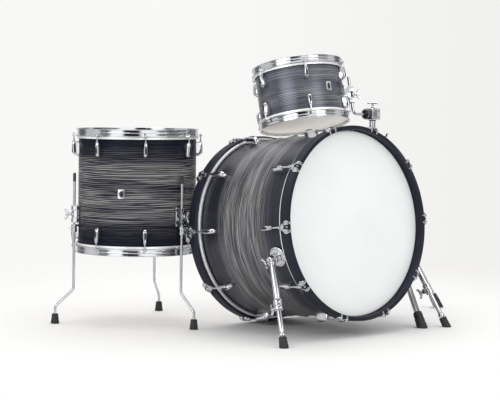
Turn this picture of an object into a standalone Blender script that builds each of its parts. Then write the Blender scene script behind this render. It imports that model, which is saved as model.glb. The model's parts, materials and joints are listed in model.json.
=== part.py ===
"""Acoustic drum kit: a bass drum on spurs, a floor tom on legs and a rack tom on a tripod stand.

Every drum is modelled about its own axis, with +Z of its frame towards the batter head.
The finished kit stands on z = 0, and the origin is at the middle of its footprint.
"""

import math
from types import SimpleNamespace

import bmesh
import bpy
from mathutils import Matrix, Vector

# Clearances
GAP = 0.0003
RUNNING_GAP = 0.0004
SUNK = 0.003
LONG_CUT = 0.1

# Drums: shell radius, depth and wall, then lugs to a side
BASS = SimpleNamespace(
    name="bass", radius=0.3048, depth=0.4318, wall=0.0075, sides=40,
    lugs=10, first_lug=0.0, lug_length=0.058, lug_width=0.020, rod_free=0.034,
    collar_drop=0.009, flesh_height=0.010, flesh_width=0.0099,
)
FLOOR_TOM = SimpleNamespace(
    name="floor_tom", radius=0.2032, depth=0.4064, wall=0.0060, sides=32,
    lugs=8, first_lug=0.0, lug_length=0.050, lug_width=0.017, rod_free=0.020,
    collar_drop=0.016, flesh_height=0.008, flesh_width=0.0075,
)
RACK_TOM = SimpleNamespace(
    name="rack_tom", radius=0.1524, depth=0.2032, wall=0.0060, sides=24,
    lugs=6, first_lug=0.0, lug_length=0.046, lug_width=0.017, rod_free=0.014,
    collar_drop=0.016, flesh_height=0.008, flesh_width=0.0075,
)

# Heads
FILM = 0.001
COLLAR_GAP = 0.0012

# Wooden bass hoops and their claws
WOOD_HOOP_WIDTH = 0.038
WOOD_HOOP_INSIDE = 0.0039
WOOD_HOOP_THICKNESS = 0.0131
CLAW_WIDTH = 0.044
CLAW_TAIL_WIDTH = 0.013
CLAW_THICKNESS = 0.0045
CLAW_LIP = 0.003
CLAW_BARREL = 0.0065
BASS_ROD_OUT = 0.005

# Flanged steel hoops of the toms
STEEL = 0.0023
STEEL_HOOP_ABOVE = 0.0095
STEEL_HOOP_INSIDE = 0.003
STEEL_HOOP_FLANGE = 0.0115
STEEL_HOOP_LIP = 0.0097
TOM_ROD_OUT = 0.0175
EAR_WIDTH = 0.016

# Tension rods
ROD_RADIUS = 0.003
ROD_HEAD = 0.0055
ROD_HEAD_HEIGHT = 0.007

# Bass drum stance and spurs
BASS_TILT = math.radians(5.94)
SPUR_ANGLE = math.radians(17.6)
SPUR_SETBACK = 0.086
SPUR_FOOT_OUT = 0.0612
SPUR_FOOT_AHEAD = 0.053
SPUR_DISC = 0.034
SPUR_DISC_HEIGHT = 0.010
SPUR_BOSS = 0.016
SPUR_BOSS_HEIGHT = 0.017
SPUR_KNUCKLE_HEIGHT = 0.028
SPUR_LEG_RADIUS = 0.008
SPUR_LEG_INSIDE = 0.075
SPUR_LEG_TRAVEL_IN = 0.031
SPUR_TUBE_RADIUS = SPUR_LEG_RADIUS + 0.0025
SPUR_TUBE_LENGTH = 0.165
SPUR_CLAMP_RADIUS = SPUR_TUBE_RADIUS + 0.004
SPUR_CLAMP_LENGTH = 0.028
SPUR_CLAMP_LIP = 0.006
SPUR_BLOCK_WIDTH = 0.018
SPUR_BLOCK_REACH = SPUR_CLAMP_RADIUS + 0.0075
SPUR_BLOCK_HEIGHT = 0.020
SPUR_FOOT_TOP = SPUR_LEG_RADIUS + 0.0045
SPUR_FOOT_BASE = SPUR_FOOT_TOP + 0.003
SPUR_FOOT_HEIGHT = 0.036

# Floor tom stance and legs
FLOOR_TOM_BESIDE_CLAWS = 0.0232
FLOOR_TOM_BEHIND_BASS = -0.0031
FLOOR_TOM_TURN = math.radians(14.0)
FLOOR_TOM_CLEARANCE = 0.2516
FLOOR_LEG_FIRST = math.radians(21.0)
FLOOR_LEG_RADIUS = 0.00475
FLOOR_LEG_OFF_HOOP = 0.00095
FLOOR_LEG_OUT = STEEL_HOOP_FLANGE + FLOOR_LEG_OFF_HOOP + FLOOR_LEG_RADIUS
FLOOR_LEG_TOP = 0.515
FLOOR_LEG_BEND = 0.116
FLOOR_LEG_SPREAD = 0.0632
FLOOR_LEG_LOWER_BEND = 0.058
FLOOR_BRACKET_LOW = 0.087
FLOOR_BRACKET_HEIGHT = 0.070
FLOOR_BRACKET_WIDTH = 0.030
FLOOR_BRACKET_PLATE = 0.006
FLOOR_CLAMP_RADIUS = FLOOR_LEG_RADIUS + 0.00625
MEMORY_LOCK_RADIUS = FLOOR_LEG_RADIUS + 0.00575
MEMORY_LOCK_HEIGHT = 0.026
FLOOR_FOOT_TOP = FLOOR_LEG_RADIUS + 0.00575
FLOOR_FOOT_BASE = FLOOR_FOOT_TOP + 0.0043
FLOOR_FOOT_HEIGHT = 0.034

# Tripod stand, placed from the bass drum's rear hoop and side
STAND_BESIDE_BASS = 0.0807
STAND_BEFORE_REAR = 0.1583
STAND_LEG_ANGLES = tuple(math.radians(a) for a in (-107.0, -1.0, 112.0))
UPPER_TUBE_RADIUS = 0.0111
UPPER_TUBE_WALL = 0.0018
UPPER_TUBE_INSIDE = 0.300
TUBE_LOCK_RADIUS = UPPER_TUBE_RADIUS + 0.0059
TUBE_LOCK_HEIGHT = 0.016
TUBE_CLEARANCE = 0.0008
STAND_TUBE_WALL = 0.0024
STAND_TUBE_RADIUS = UPPER_TUBE_RADIUS + TUBE_CLEARANCE + STAND_TUBE_WALL
STAND_TUBE_BELOW_COLLAR = 0.0138
TRIPOD_HINGE_HEIGHT = 0.450
TRIPOD_HINGE_RADIUS = STAND_TUBE_RADIUS + 0.0157
TRIPOD_FOOT_RADIUS = 0.364
TRIPOD_STRUT = 0.200
COLLAR_RADIUS = STAND_TUBE_RADIUS + 0.0067
COLLAR_HEIGHT = 0.030
TONGUE_THICKNESS = 0.008
TONGUE_HEIGHT = 0.022
STRIP_THICKNESS = 0.004
STRIP_WIDTH = 0.014
STRUT_THICKNESS = 0.006
STRUT_WIDTH = 0.012
EAR_THICKNESS = 0.003
EAR_HEIGHT = 0.018
PIN_RADIUS = 0.003
BOOT_LENGTH = 0.060
BOOT_TOP = 0.015
BOOT_BASE = 0.019
BOOT_COVER = 0.030

# Height clamp, tom holder and L-rod
CLAMP_RADIUS = STAND_TUBE_RADIUS + 0.0067
CLAMP_HEIGHT = 0.034
CLAMP_REACH = STAND_TUBE_RADIUS + 0.0217
CLAMP_TURN = math.radians(-42.0)
HOLDER_SIZE = 0.044
HOLDER_DEPTH = 0.040
SPIGOT_LENGTH = 0.040
KNUCKLE_RADIUS = 0.019
KNUCKLE_LENGTH = 0.024
KNUCKLE_PIN = 0.006
L_ROD_RADIUS = 0.00525
L_ROD_UP = 0.137
L_ROD_BEND = 0.014

# Rack tom stance, on the L-rod
RACK_LEAN_BACK = math.radians(13.9)
RACK_LEAN_SIDE = math.radians(2.1)
RACK_BRACKET_ANGLE = math.radians(-30.0)
RACK_LUG_ANGLE = math.radians(56.0)
RACK_BRACKET_OUT = 0.0306
RACK_BRACKET_PLATE = 0.005
RACK_BRACKET_LOW = 0.062
RACK_BRACKET_HEIGHT = 0.078
RACK_BRACKET_WIDTH = 0.034
RACK_CLAMP_RADIUS = 0.012
RACK_RIM_ABOVE_BEND = -0.030
L_ROD_ARM = 0.076
L_ROD_ABOVE_BASS = 0.0839
UPPER_TUBE_BELOW_ROD = 0.024
STAND_TUBE_BELOW_ROD = 0.069

# Wing bolts
WING_SPAN = 0.038
WING_HEIGHT = 0.012
WING_THICKNESS = 0.006
WING_STEM = 0.0035
WING_STEM_LENGTH = 0.012

MATERIALS = {
    "wrap": ((0.055, 0.058, 0.075), 0.15, 0.38),
    "hoop_wrap": ((0.045, 0.048, 0.062), 0.10, 0.50),
    "chrome": ((0.82, 0.83, 0.85), 1.0, 0.08),
    "coated_head": ((0.93, 0.93, 0.92), 0.0, 0.55),
    "clear_head": ((0.80, 0.76, 0.68), 0.0, 0.35),
    "rubber": ((0.02, 0.02, 0.022), 0.0, 0.75),
}


# Solids: each is a list of points and a list of faces over them


def prism(outline, low, high):
    """An outline in XY, pushed from low to high along Z."""
    count = len(outline)
    points = [Vector((x, y, z)) for z in (low, high) for x, y in outline]
    faces = [list(range(count))[::-1], list(range(count, 2 * count))]
    faces += [[i, (i + 1) % count, count + (i + 1) % count, count + i] for i in range(count)]
    return points, faces


def circle(radius, sides, turn=0.0):
    angles = [turn + math.tau * i / sides for i in range(sides)]
    return [(radius * math.cos(a), radius * math.sin(a)) for a in angles]


def cylinder(radius, low, high, sides=12):
    return prism(circle(radius, sides), low, high)


def box(low, high):
    outline = [(low[0], low[1]), (high[0], low[1]), (high[0], high[1]), (low[0], high[1])]
    return prism(outline, low[2], high[2])


def turned(profile, sides, capped=False):
    """A profile of (radius, height) turned about Z: a ring, or a capped body if its ends are discs."""
    rings = [[Vector((x, y, z)) for x, y in circle(r, sides)] for r, z in profile]
    points = [point for ring in rings for point in ring]
    bands = len(rings) if not capped else len(rings) - 1
    faces = []
    for band in range(bands):
        start, end = band * sides, (band + 1) % len(rings) * sides
        for i in range(sides):
            j = (i + 1) % sides
            faces.append([start + i, start + j, end + j, end + i])
    if capped:
        faces.append(list(range(sides)))
        faces.append(list(range((len(rings) - 1) * sides, len(rings) * sides)))
    return points, faces


def tube(outer, inner, low, high, sides):
    return turned([(outer, low), (outer, high), (inner, high), (inner, low)], sides)


def hull(points):
    """The convex solid round some points."""
    shape = bmesh.new()
    for point in points:
        shape.verts.new(point)
    made = bmesh.ops.convex_hull(shape, input=shape.verts)
    bmesh.ops.delete(shape, geom=made["geom_interior"], context="VERTS")
    shape.verts.index_update()
    solid = [v.co.copy() for v in shape.verts], [[v.index for v in f.verts] for f in shape.faces]
    shape.free()
    return solid


def bent_rod(path, radius, sides=8):
    """A round rod along a flat path, with mitred bends."""
    path = [Vector(point) for point in path]
    runs = [(b - a).normalized() for a, b in zip(path, path[1:])]
    across = runs[0].cross(runs[1]).normalized()
    rings = []
    for i, point in enumerate(path):
        before, after = runs[max(i - 1, 0)], runs[min(i, len(runs) - 1)]
        along = (before + after).normalized()
        out = along.cross(across) / max(along.dot(before), 0.1)
        for x, y in circle(radius, sides):
            rings.append(point + across * x + out * y)
    faces = []
    for band in range(len(path) - 1):
        for i in range(sides):
            a, b = band * sides + i, band * sides + (i + 1) % sides
            faces.append([a, b, b + sides, a + sides])
    faces.append(list(range(sides)))
    faces.append(list(range(len(rings) - sides, len(rings))))
    return rings, faces


def placed(solid, matrix):
    return [matrix @ point for point in solid[0]], solid[1]


def turned_by(angle):
    return Matrix.Rotation(angle, 4, "Z")


def flipped(points, end):
    """Points for the +Z end of a drum, mirrored to its other end when end is -1."""
    return [Vector((x, y, z * end)) for x, y, z in points]


# Scene building


def clear_scene():
    for obj in list(bpy.data.objects):
        bpy.data.objects.remove(obj, do_unlink=True)


def make_material(name):
    colour, metallic, roughness = MATERIALS[name]
    material = bpy.data.materials.new(name)
    material.use_nodes = True
    shader = material.node_tree.nodes["Principled BSDF"]
    shader.inputs["Base Color"].default_value = (*colour, 1.0)
    shader.inputs["Metallic"].default_value = metallic
    shader.inputs["Roughness"].default_value = roughness
    return material


def mesh_object(name, solids, parent):
    mesh = bpy.data.meshes.new(name)
    points, faces = [], []
    for solid in solids:
        start = len(points)
        points += solid[0]
        faces += [[start + i for i in face] for face in solid[1]]
    mesh.from_pydata(points, [], faces)
    shape = bmesh.new()
    shape.from_mesh(mesh)
    bmesh.ops.recalc_face_normals(shape, faces=shape.faces)
    shape.to_mesh(mesh)
    shape.free()
    mesh.shade_smooth()
    mesh.set_sharp_from_angle(angle=math.radians(35.0))
    obj = bpy.data.objects.new(name, mesh)
    obj.parent = parent
    bpy.context.scene.collection.objects.link(obj)
    return obj


def boolean(obj, operation, solids):
    """Joins solids to an object, or cuts them from it. The solids may overlap each other."""
    helper = mesh_object(f"{obj.name}_{operation.lower()}", solids, obj.parent)
    helper.hide_render = True
    helper.display_type = "WIRE"
    modifier = obj.modifiers.new(operation.title(), "BOOLEAN")
    modifier.operation = operation
    modifier.solver = "EXACT"
    modifier.use_self = True
    modifier.object = helper


def node(name, material, parent, solids, cuts=()):
    """One sub-part: its first solid, joined with the others, less the cuts."""
    obj = mesh_object(name, solids[:1], parent)
    obj.data.materials.append(make_material(material))
    obj.data.materials[0].name = f"{name}_{material}"
    if solids[1:]:
        boolean(obj, "UNION", solids[1:])
    if cuts:
        boolean(obj, "DIFFERENCE", cuts)
    return obj


def frame(name, parent, matrix):
    """An empty that holds a group of sub-parts, or a joint's axis along its Z."""
    empty = bpy.data.objects.new(name, None)
    empty.empty_display_size = 0.03
    bpy.context.scene.collection.objects.link(empty)
    empty.parent = parent
    empty.matrix_basis = matrix
    return empty


def in_kit(empty):
    """A frame's matrix in the kit's own frame."""
    matrix = Matrix.Identity(4)
    while empty.parent is not None:
        matrix = empty.matrix_basis @ matrix
        empty = empty.parent
    return matrix


def axes_at(origin, z_axis, towards):
    """A matrix with Z along z_axis and X as near to towards as it can be."""
    z_axis = z_axis.normalized()
    x_axis = (towards - z_axis * towards.dot(z_axis)).normalized()
    y_axis = z_axis.cross(x_axis)
    matrix = Matrix((x_axis, y_axis, z_axis)).transposed().to_4x4()
    matrix.translation = origin
    return matrix


# Drums


def lug_angles(drum):
    return [drum.first_lug + math.tau * i / drum.lugs for i in range(drum.lugs)]


def flesh_top(drum):
    """Height of the flesh hoop's top above the shell's middle, where the hoop presses on it."""
    return drum.depth / 2 - drum.collar_drop


def hoop_low(drum):
    return flesh_top(drum) + GAP


def lug_end(drum):
    """Height of the lug's open end, where its rod goes in."""
    return hoop_low(drum) - drum.rod_free


def make_lug(drum, end, angle):
    """A teardrop casting: square-shouldered where the rod enters, drawn to a low point at its nose."""
    base, top, half = drum.radius - SUNK, drum.rod_radius + 0.0065, drum.lug_width / 2
    shoulder = base + 0.62 * (top - base)
    nose = base + 0.45 * (top - base)
    start, middle, tip = lug_end(drum), lug_end(drum) - 0.4 * drum.lug_length, lug_end(drum) - drum.lug_length
    points = [(base, side * half, z) for side in (-1, 1) for z in (start, middle)]
    points += [(shoulder, side * half, z) for side in (-1, 1) for z in (start, middle)]
    points += [(top, side * half * 0.5, start) for side in (-1, 1)]
    points += [(top - 0.002, side * half * 0.4, middle) for side in (-1, 1)]
    points += [(base, -0.2 * half, tip), (base, 0.2 * half, tip), (nose, 0.0, tip)]
    return placed(hull(flipped(points, end)), turned_by(angle))


def make_shell(drum, parent):
    half = drum.depth / 2
    wall = tube(drum.radius, drum.radius - drum.wall, -half, half, drum.sides)
    lugs = [make_lug(drum, end, angle) for end in (1, -1) for angle in lug_angles(drum)]
    node(f"{drum.name}_shell", "wrap", parent, [wall] + lugs)


def make_head(drum, end, name, material, parent):
    """A film over the bearing edge, with its collar and the flesh hoop that the drum's hoop presses on."""
    film_low = drum.depth / 2 + GAP
    inside = drum.radius + COLLAR_GAP
    outside = drum.radius + drum.flesh_width
    top, bottom = flesh_top(drum), flesh_top(drum) - drum.flesh_height
    profile = [
        (inside, film_low), (inside, bottom), (outside, bottom),
        (outside, top), (inside + FILM, top), (inside + FILM, film_low + FILM),
    ]
    profile = [(r, z * end) for r, z in profile]
    node(name, material, parent, [turned(profile, drum.sides, capped=True)])


def tension_rod(drum, end, high):
    """A rod from just off its lug up into the hoop's fitting, along Z at the rod circle."""
    low = lug_end(drum) + GAP
    rod = cylinder(ROD_RADIUS, min(low * end, high * end), max(low * end, high * end), 6)
    return placed(rod, Matrix.Translation((drum.rod_radius, 0, 0)))


def make_wood_hoop(drum, end, name, parent):
    """A wooden hoop with a claw and a tension rod over each lug."""
    inner = drum.radius + WOOD_HOOP_INSIDE
    outer = inner + WOOD_HOOP_THICKNESS
    low, high = hoop_low(drum), hoop_low(drum) + WOOD_HOOP_WIDTH
    edges = [(outer, low), (outer, high), (inner, high), (inner, low)]
    ring = turned([(r, z * end) for r, z in edges], drum.sides)
    tail, mouth = CLAW_TAIL_WIDTH / 2, CLAW_WIDTH / 2
    top, lip = outer + CLAW_THICKNESS, high + CLAW_LIP
    fittings = []
    for angle in lug_angles(drum):
        points = [(x, side * tail, low + 0.003) for side in (-1, 1) for x in (outer - SUNK, top)]
        points += [(top, side * mouth, high - 0.008) for side in (-1, 1)]
        points += [(top, side * mouth, lip) for side in (-1, 1)]
        points += [(outer - SUNK - 0.001, side * mouth, high - 0.008) for side in (-1, 1)]
        points += [(inner + 0.004, side * mouth * 0.6, lip) for side in (-1, 1)]
        points += [(outer - 0.004, side * mouth, lip) for side in (-1, 1)]
        claw = hull(flipped(points, end))
        barrel = prism(circle(CLAW_BARREL, 8), *sorted((end * (low + 0.004), end * (lip + 0.002))))
        barrel = placed(barrel, Matrix.Translation((drum.rod_radius, 0, 0)))
        rod = tension_rod(drum, end, low + 0.012)
        fittings += [placed(solid, turned_by(angle)) for solid in (claw, barrel, rod)]
    node(name, "hoop_wrap", parent, [ring] + fittings)


def make_steel_hoop(drum, end, name, parent):
    """A flanged steel hoop with an ear and a headed tension rod over each lug."""
    inner = drum.radius + STEEL_HOOP_INSIDE
    wall, flange, lip = inner + STEEL, drum.radius + STEEL_HOOP_FLANGE, drum.radius + STEEL_HOOP_LIP
    low, high = hoop_low(drum), drum.depth / 2 + STEEL_HOOP_ABOVE
    profile = [
        (inner, low), (flange, low), (flange, low + STEEL), (wall, low + STEEL),
        (wall, high - STEEL), (lip, high - STEEL), (lip, high), (inner, high),
    ]
    ring = turned([(r, z * end) for r, z in profile], drum.sides)
    fittings = []
    ear_top = low + STEEL + 0.001
    reach = drum.rod_radius + ROD_HEAD + 0.001
    for angle in lug_angles(drum):
        wide = [(flange - SUNK, side * EAR_WIDTH * 0.6, z) for side in (-1, 1) for z in (low, ear_top)]
        tip = [(reach, side * EAR_WIDTH * 0.3, z) for side in (-1, 1) for z in (low, ear_top)]
        ear = hull(flipped(wide + tip, end))
        head = cylinder(ROD_HEAD, *sorted((end * (ear_top - 0.001), end * (ear_top + ROD_HEAD_HEIGHT))), 6)
        head = placed(head, Matrix.Translation((drum.rod_radius, 0, 0)))
        rod = tension_rod(drum, end, ear_top)
        fittings += [placed(solid, turned_by(angle)) for solid in (ear, head, rod)]
    node(name, "chrome", parent, [ring] + fittings)


# Shared hardware


def make_wing_bolt(name, parent, matrix, stem=WING_STEM_LENGTH):
    """A screw with two wings, turning about Z of its own frame, which lies just off the clamp's face."""
    axis = frame(f"{name}_axis", parent, matrix)
    half, waist = WING_SPAN / 2, WING_SPAN / 7
    edge = [
        (-waist, stem - 0.004), (waist, stem - 0.004), (half, stem + 0.002),
        (half, stem + WING_HEIGHT), (waist, stem + 0.006), (-waist, stem + 0.006),
    ]
    outline = [(-half, stem + 0.002)] + edge + [(-half, stem + WING_HEIGHT)]
    wings = prism(outline, -WING_THICKNESS / 2, WING_THICKNESS / 2)
    wings = placed(wings, Matrix.Rotation(math.radians(90.0), 4, "X"))
    node(name, "chrome", axis, [wings, cylinder(WING_STEM, GAP, stem, 8)])


def make_foot(name, parent, top, top_radius, ground, base_radius, bore):
    """A rubber foot from a round upper face down to a flat base on the floor, bored for its leg.

    top places the upper face in the parent's frame, and ground is the base's centre in the kit's frame.
    """
    upper = placed(prism(circle(top_radius, 10), 0, 0), top)[0][:10]
    to_parent = in_kit(parent).inverted()
    lower = [to_parent @ (ground + Vector((x, y, 0))) for x, y in circle(base_radius, 10)]
    node(name, "rubber", parent, [hull(upper + lower)], [bore])


# Bass drum


def bass_outer():
    return BASS.radius + WOOD_HOOP_INSIDE + WOOD_HOOP_THICKNESS


def bass_length():
    return 2 * (hoop_low(BASS) + WOOD_HOOP_WIDTH)


def bass_height():
    """Height of the front hoop's face centre: the rear hoop rests on the floor."""
    return bass_length() * math.sin(BASS_TILT) + bass_outer() * math.cos(BASS_TILT)


def bass_rear():
    """How far behind the front hoop's face centre the rear one's is."""
    return bass_length() * math.cos(BASS_TILT)


def rod_height():
    """Height of the L-rod's arm, which lifts the rack tom over the bass drum's rear hoop."""
    return 2 * bass_outer() * math.cos(BASS_TILT) + L_ROD_ABOVE_BASS


def make_bass(kit):
    BASS.rod_radius = bass_outer() + BASS_ROD_OUT
    half = bass_length() / 2
    centre = Vector((0, half * math.cos(BASS_TILT), bass_height() - half * math.sin(BASS_TILT)))
    lean = Matrix.Rotation(-math.pi / 2 - BASS_TILT, 4, "X")
    drum = frame("bass_frame", kit, Matrix.Translation(centre) @ lean)
    make_shell(BASS, drum)
    make_head(BASS, 1, "bass_batter_head", "coated_head", drum)
    make_head(BASS, -1, "bass_front_head", "coated_head", drum)
    make_wood_hoop(BASS, 1, "bass_batter_hoop", drum)
    make_wood_hoop(BASS, -1, "bass_front_hoop", drum)
    for side, angle in (("left", math.pi + SPUR_ANGLE), ("right", -SPUR_ANGLE)):
        make_spur(side, -1 if side == "left" else 1, -angle, drum, kit)


def make_spur(side, sign, angle, drum, kit):
    """A spur that turns on a disc bracket, with an inner leg that slides and a rubber foot."""
    bracket_height = SPUR_SETBACK - hoop_low(BASS) - WOOD_HOOP_WIDTH
    on_shell = turned_by(angle) @ Matrix.Translation((BASS.radius, 0, bracket_height))
    on_shell = in_kit(drum) @ on_shell
    outward = (in_kit(drum) @ turned_by(angle)).to_3x3() @ Vector((1, 0, 0))
    hinge_at = on_shell.translation
    knuckle_low = SPUR_BOSS_HEIGHT + GAP
    top = hinge_at + outward * (knuckle_low + SPUR_KNUCKLE_HEIGHT / 2)
    ground = Vector((sign * (bass_outer() + SPUR_FOOT_OUT), -SPUR_FOOT_AHEAD, 0))
    down = (ground - top).normalized()
    length = (ground - top).length

    hinge = frame(f"spur_{side}_hinge", kit, axes_at(hinge_at, outward, down))
    disc = cylinder(SPUR_DISC, GAP, SPUR_DISC_HEIGHT, 20)
    boss = cylinder(SPUR_BOSS, SPUR_DISC_HEIGHT - 0.002, SPUR_BOSS_HEIGHT, 14)
    node(f"spur_{side}_bracket", "chrome", hinge, [disc, boss])

    slide_matrix = in_kit(hinge).inverted() @ axes_at(top, -down, outward)
    slide = frame(f"spur_{side}_slide", hinge, slide_matrix)
    knuckle = cylinder(SPUR_BOSS, knuckle_low, knuckle_low + SPUR_KNUCKLE_HEIGHT, 14)
    knuckle = placed(knuckle, slide_matrix.inverted())
    barrel = cylinder(SPUR_TUBE_RADIUS, -SPUR_TUBE_LENGTH, 0, 12)
    tube_end = -SPUR_TUBE_LENGTH
    clamp = cylinder(SPUR_CLAMP_RADIUS, tube_end - SPUR_CLAMP_LIP, tube_end + SPUR_CLAMP_LENGTH, 12)
    half_block = SPUR_BLOCK_WIDTH / 2
    block_top = tube_end + SPUR_BLOCK_HEIGHT
    clamp_block = box((-half_block, 0, tube_end), (half_block, SPUR_BLOCK_REACH, block_top))
    if sign < 0:
        clamp_block = placed(clamp_block, Matrix.Rotation(math.pi, 4, "Z"))
    bore_top = tube_end + SPUR_LEG_INSIDE + SPUR_LEG_TRAVEL_IN
    bore = cylinder(SPUR_LEG_RADIUS + RUNNING_GAP, tube_end - LONG_CUT, bore_top, 12)
    node(f"spur_{side}_tube", "chrome", slide, [barrel, knuckle, clamp, clamp_block], [bore])

    leg_end = -(length - 0.55 * SPUR_FOOT_HEIGHT)
    leg = cylinder(SPUR_LEG_RADIUS, leg_end, tube_end + SPUR_LEG_INSIDE, 12)
    node(f"spur_{side}_leg", "chrome", slide, [leg])
    foot_top = Matrix.Translation((0, 0, -(length - SPUR_FOOT_HEIGHT)))
    bore = cylinder(SPUR_LEG_RADIUS + GAP, leg_end - GAP, 0, 12)
    make_foot(f"spur_{side}_foot", slide, foot_top, SPUR_FOOT_TOP, ground, SPUR_FOOT_BASE, bore)

    on_knuckle = Matrix.Translation((0, 0, knuckle_low + SPUR_KNUCKLE_HEIGHT))
    make_wing_bolt(f"spur_{side}_hinge_wing", hinge, on_knuckle)
    across = Vector((0, sign, 0))
    block_middle = Vector((0, 0, tube_end + SPUR_BLOCK_HEIGHT / 2))
    on_clamp = axes_at(across * SPUR_BLOCK_REACH + block_middle, across, Vector((0, 0, 1)))
    make_wing_bolt(f"spur_{side}_leg_wing", slide, on_clamp)


# Floor tom


def make_tom(drum, parent):
    drum.rod_radius = drum.radius + TOM_ROD_OUT
    make_shell(drum, parent)
    make_head(drum, 1, f"{drum.name}_batter_head", "coated_head", parent)
    make_head(drum, -1, f"{drum.name}_resonant_head", "clear_head", parent)
    make_steel_hoop(drum, 1, f"{drum.name}_batter_hoop", parent)
    make_steel_hoop(drum, -1, f"{drum.name}_resonant_hoop", parent)


def make_floor_tom(kit):
    height = FLOOR_TOM_CLEARANCE + FLOOR_TOM.depth / 2
    claw_reach = BASS.rod_radius + CLAW_BARREL
    lock_reach = FLOOR_TOM.radius + FLOOR_LEG_OUT + MEMORY_LOCK_RADIUS
    aside = -(claw_reach + MEMORY_LOCK_RADIUS + FLOOR_TOM_BESIDE_CLAWS)
    behind = bass_rear() + lock_reach + FLOOR_TOM_BEHIND_BASS
    centre = Matrix.Translation((aside, behind, height)) @ turned_by(FLOOR_TOM_TURN)
    drum = frame("floor_tom_frame", kit, centre)
    make_tom(FLOOR_TOM, drum)
    for i in range(3):
        angle = FLOOR_LEG_FIRST + math.tau * i / 3
        make_floor_leg(i + 1, angle, drum, height)


def make_floor_leg(number, angle, drum, height):
    """A bent leg held by a bracket on the shell, with its memory lock and rubber foot."""
    axis = turned_by(angle) @ Matrix.Translation((FLOOR_TOM.radius + FLOOR_LEG_OUT, 0, 0))
    axis = frame(f"floor_leg_{number}_axis", drum, axis)
    low = FLOOR_BRACKET_LOW - FLOOR_TOM.depth / 2
    high = low + FLOOR_BRACKET_HEIGHT
    shell_face = GAP - FLOOR_LEG_OUT
    plate_face = shell_face + FLOOR_BRACKET_PLATE
    half = FLOOR_BRACKET_WIDTH / 2
    reach = FLOOR_CLAMP_RADIUS
    plate = box((shell_face, -half, low), (plate_face, half, high))
    clamp = box((plate_face - 0.002, -reach, low + 0.004), (reach, reach, high - 0.004))
    bore = cylinder(FLOOR_LEG_RADIUS + RUNNING_GAP, -LONG_CUT * 2, LONG_CUT * 2, 12)
    node(f"floor_leg_{number}_bracket", "chrome", axis, [plate, clamp], [bore])

    end = 0.45 * FLOOR_FOOT_HEIGHT
    path = [
        (0, 0, FLOOR_LEG_TOP - height), (0, 0, FLOOR_LEG_BEND - height),
        (FLOOR_LEG_SPREAD, 0, FLOOR_LEG_LOWER_BEND - height), (FLOOR_LEG_SPREAD, 0, end - height),
    ]
    lock = cylinder(MEMORY_LOCK_RADIUS, low - GAP - MEMORY_LOCK_HEIGHT, low - GAP, 12)
    node(f"floor_leg_{number}", "chrome", axis, [bent_rod(path, FLOOR_LEG_RADIUS), lock])

    ground = in_kit(axis) @ Vector((FLOOR_LEG_SPREAD, 0, -height))
    top = Matrix.Translation((FLOOR_LEG_SPREAD, 0, FLOOR_FOOT_HEIGHT - height))
    bore = cylinder(FLOOR_LEG_RADIUS + GAP, end - GAP - height, LONG_CUT - height, 12)
    bore = placed(bore, Matrix.Translation((FLOOR_LEG_SPREAD, 0, 0)))
    make_foot(f"floor_leg_{number}_foot", axis, top, FLOOR_FOOT_TOP, ground, FLOOR_FOOT_BASE, bore)

    on_clamp = Vector((reach, 0, (low + high) / 2))
    on_clamp = axes_at(on_clamp, Vector((1, 0, 0)), Vector((0, 0, 1)))
    make_wing_bolt(f"floor_leg_{number}_wing", axis, on_clamp)


# Tripod stand


def tripod_lean():
    """The legs' angle from the vertical when they stand open."""
    return math.atan2(TRIPOD_FOOT_RADIUS - TRIPOD_HINGE_RADIUS, TRIPOD_HINGE_HEIGHT)


def stand_place():
    """The post's foot, beside the bass drum and a little before its rear hoop."""
    return Vector((bass_outer() + STAND_BESIDE_BASS, bass_rear() - STAND_BEFORE_REAR, 0))


def lower_collar_height():
    return TRIPOD_HINGE_HEIGHT - 2 * TRIPOD_STRUT * math.cos(tripod_lean())


def make_stand(kit):
    stand = frame("stand_frame", kit, Matrix.Translation(stand_place()))
    make_base_tube(stand)
    make_upper_tube(stand)
    make_lower_collar(stand, lower_collar_height())
    collar = frame("stand_collar_slide", stand, Matrix.Translation((0, 0, TRIPOD_HINGE_HEIGHT)))
    make_upper_collar(collar)
    for number, angle in enumerate(STAND_LEG_ANGLES, 1):
        make_stand_leg(number, angle, collar)
    return stand


def make_base_tube(stand):
    """The outer tube, with the height clamp round its top."""
    inner = STAND_TUBE_RADIUS - STAND_TUBE_WALL
    high = rod_height() - STAND_TUBE_BELOW_ROD
    low = high - CLAMP_HEIGHT
    bottom = lower_collar_height() - COLLAR_HEIGHT / 2 - STAND_TUBE_BELOW_COLLAR
    wall = tube(STAND_TUBE_RADIUS, inner, bottom, high, 16)
    ring = tube(CLAMP_RADIUS, STAND_TUBE_RADIUS - 0.001, low, high, 16)
    block = box((STAND_TUBE_RADIUS, -0.012, low + 0.002), (CLAMP_REACH, 0.012, high - 0.002))
    node("stand_base_tube", "chrome", stand, [wall, ring, placed(block, turned_by(CLAMP_TURN))])
    towards = turned_by(CLAMP_TURN) @ Vector((1, 0, 0))
    on_block = axes_at(towards * CLAMP_REACH + Vector((0, 0, (low + high) / 2)), towards, Vector((0, 0, 1)))
    make_wing_bolt("stand_height_wing", stand, on_block)


def make_upper_tube(stand):
    """The inner tube, with the lock collar that rests on the height clamp."""
    clamp_top = rod_height() - STAND_TUBE_BELOW_ROD
    slide = frame("stand_height_slide", stand, Matrix.Translation((0, 0, clamp_top)))
    low, high = -UPPER_TUBE_INSIDE, STAND_TUBE_BELOW_ROD - UPPER_TUBE_BELOW_ROD
    wall = tube(UPPER_TUBE_RADIUS, UPPER_TUBE_RADIUS - UPPER_TUBE_WALL, low, high, 16)
    lock = tube(TUBE_LOCK_RADIUS, UPPER_TUBE_RADIUS - 0.0008, GAP, GAP + TUBE_LOCK_HEIGHT, 16)
    node("stand_upper_tube", "chrome", slide, [wall, lock])


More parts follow.
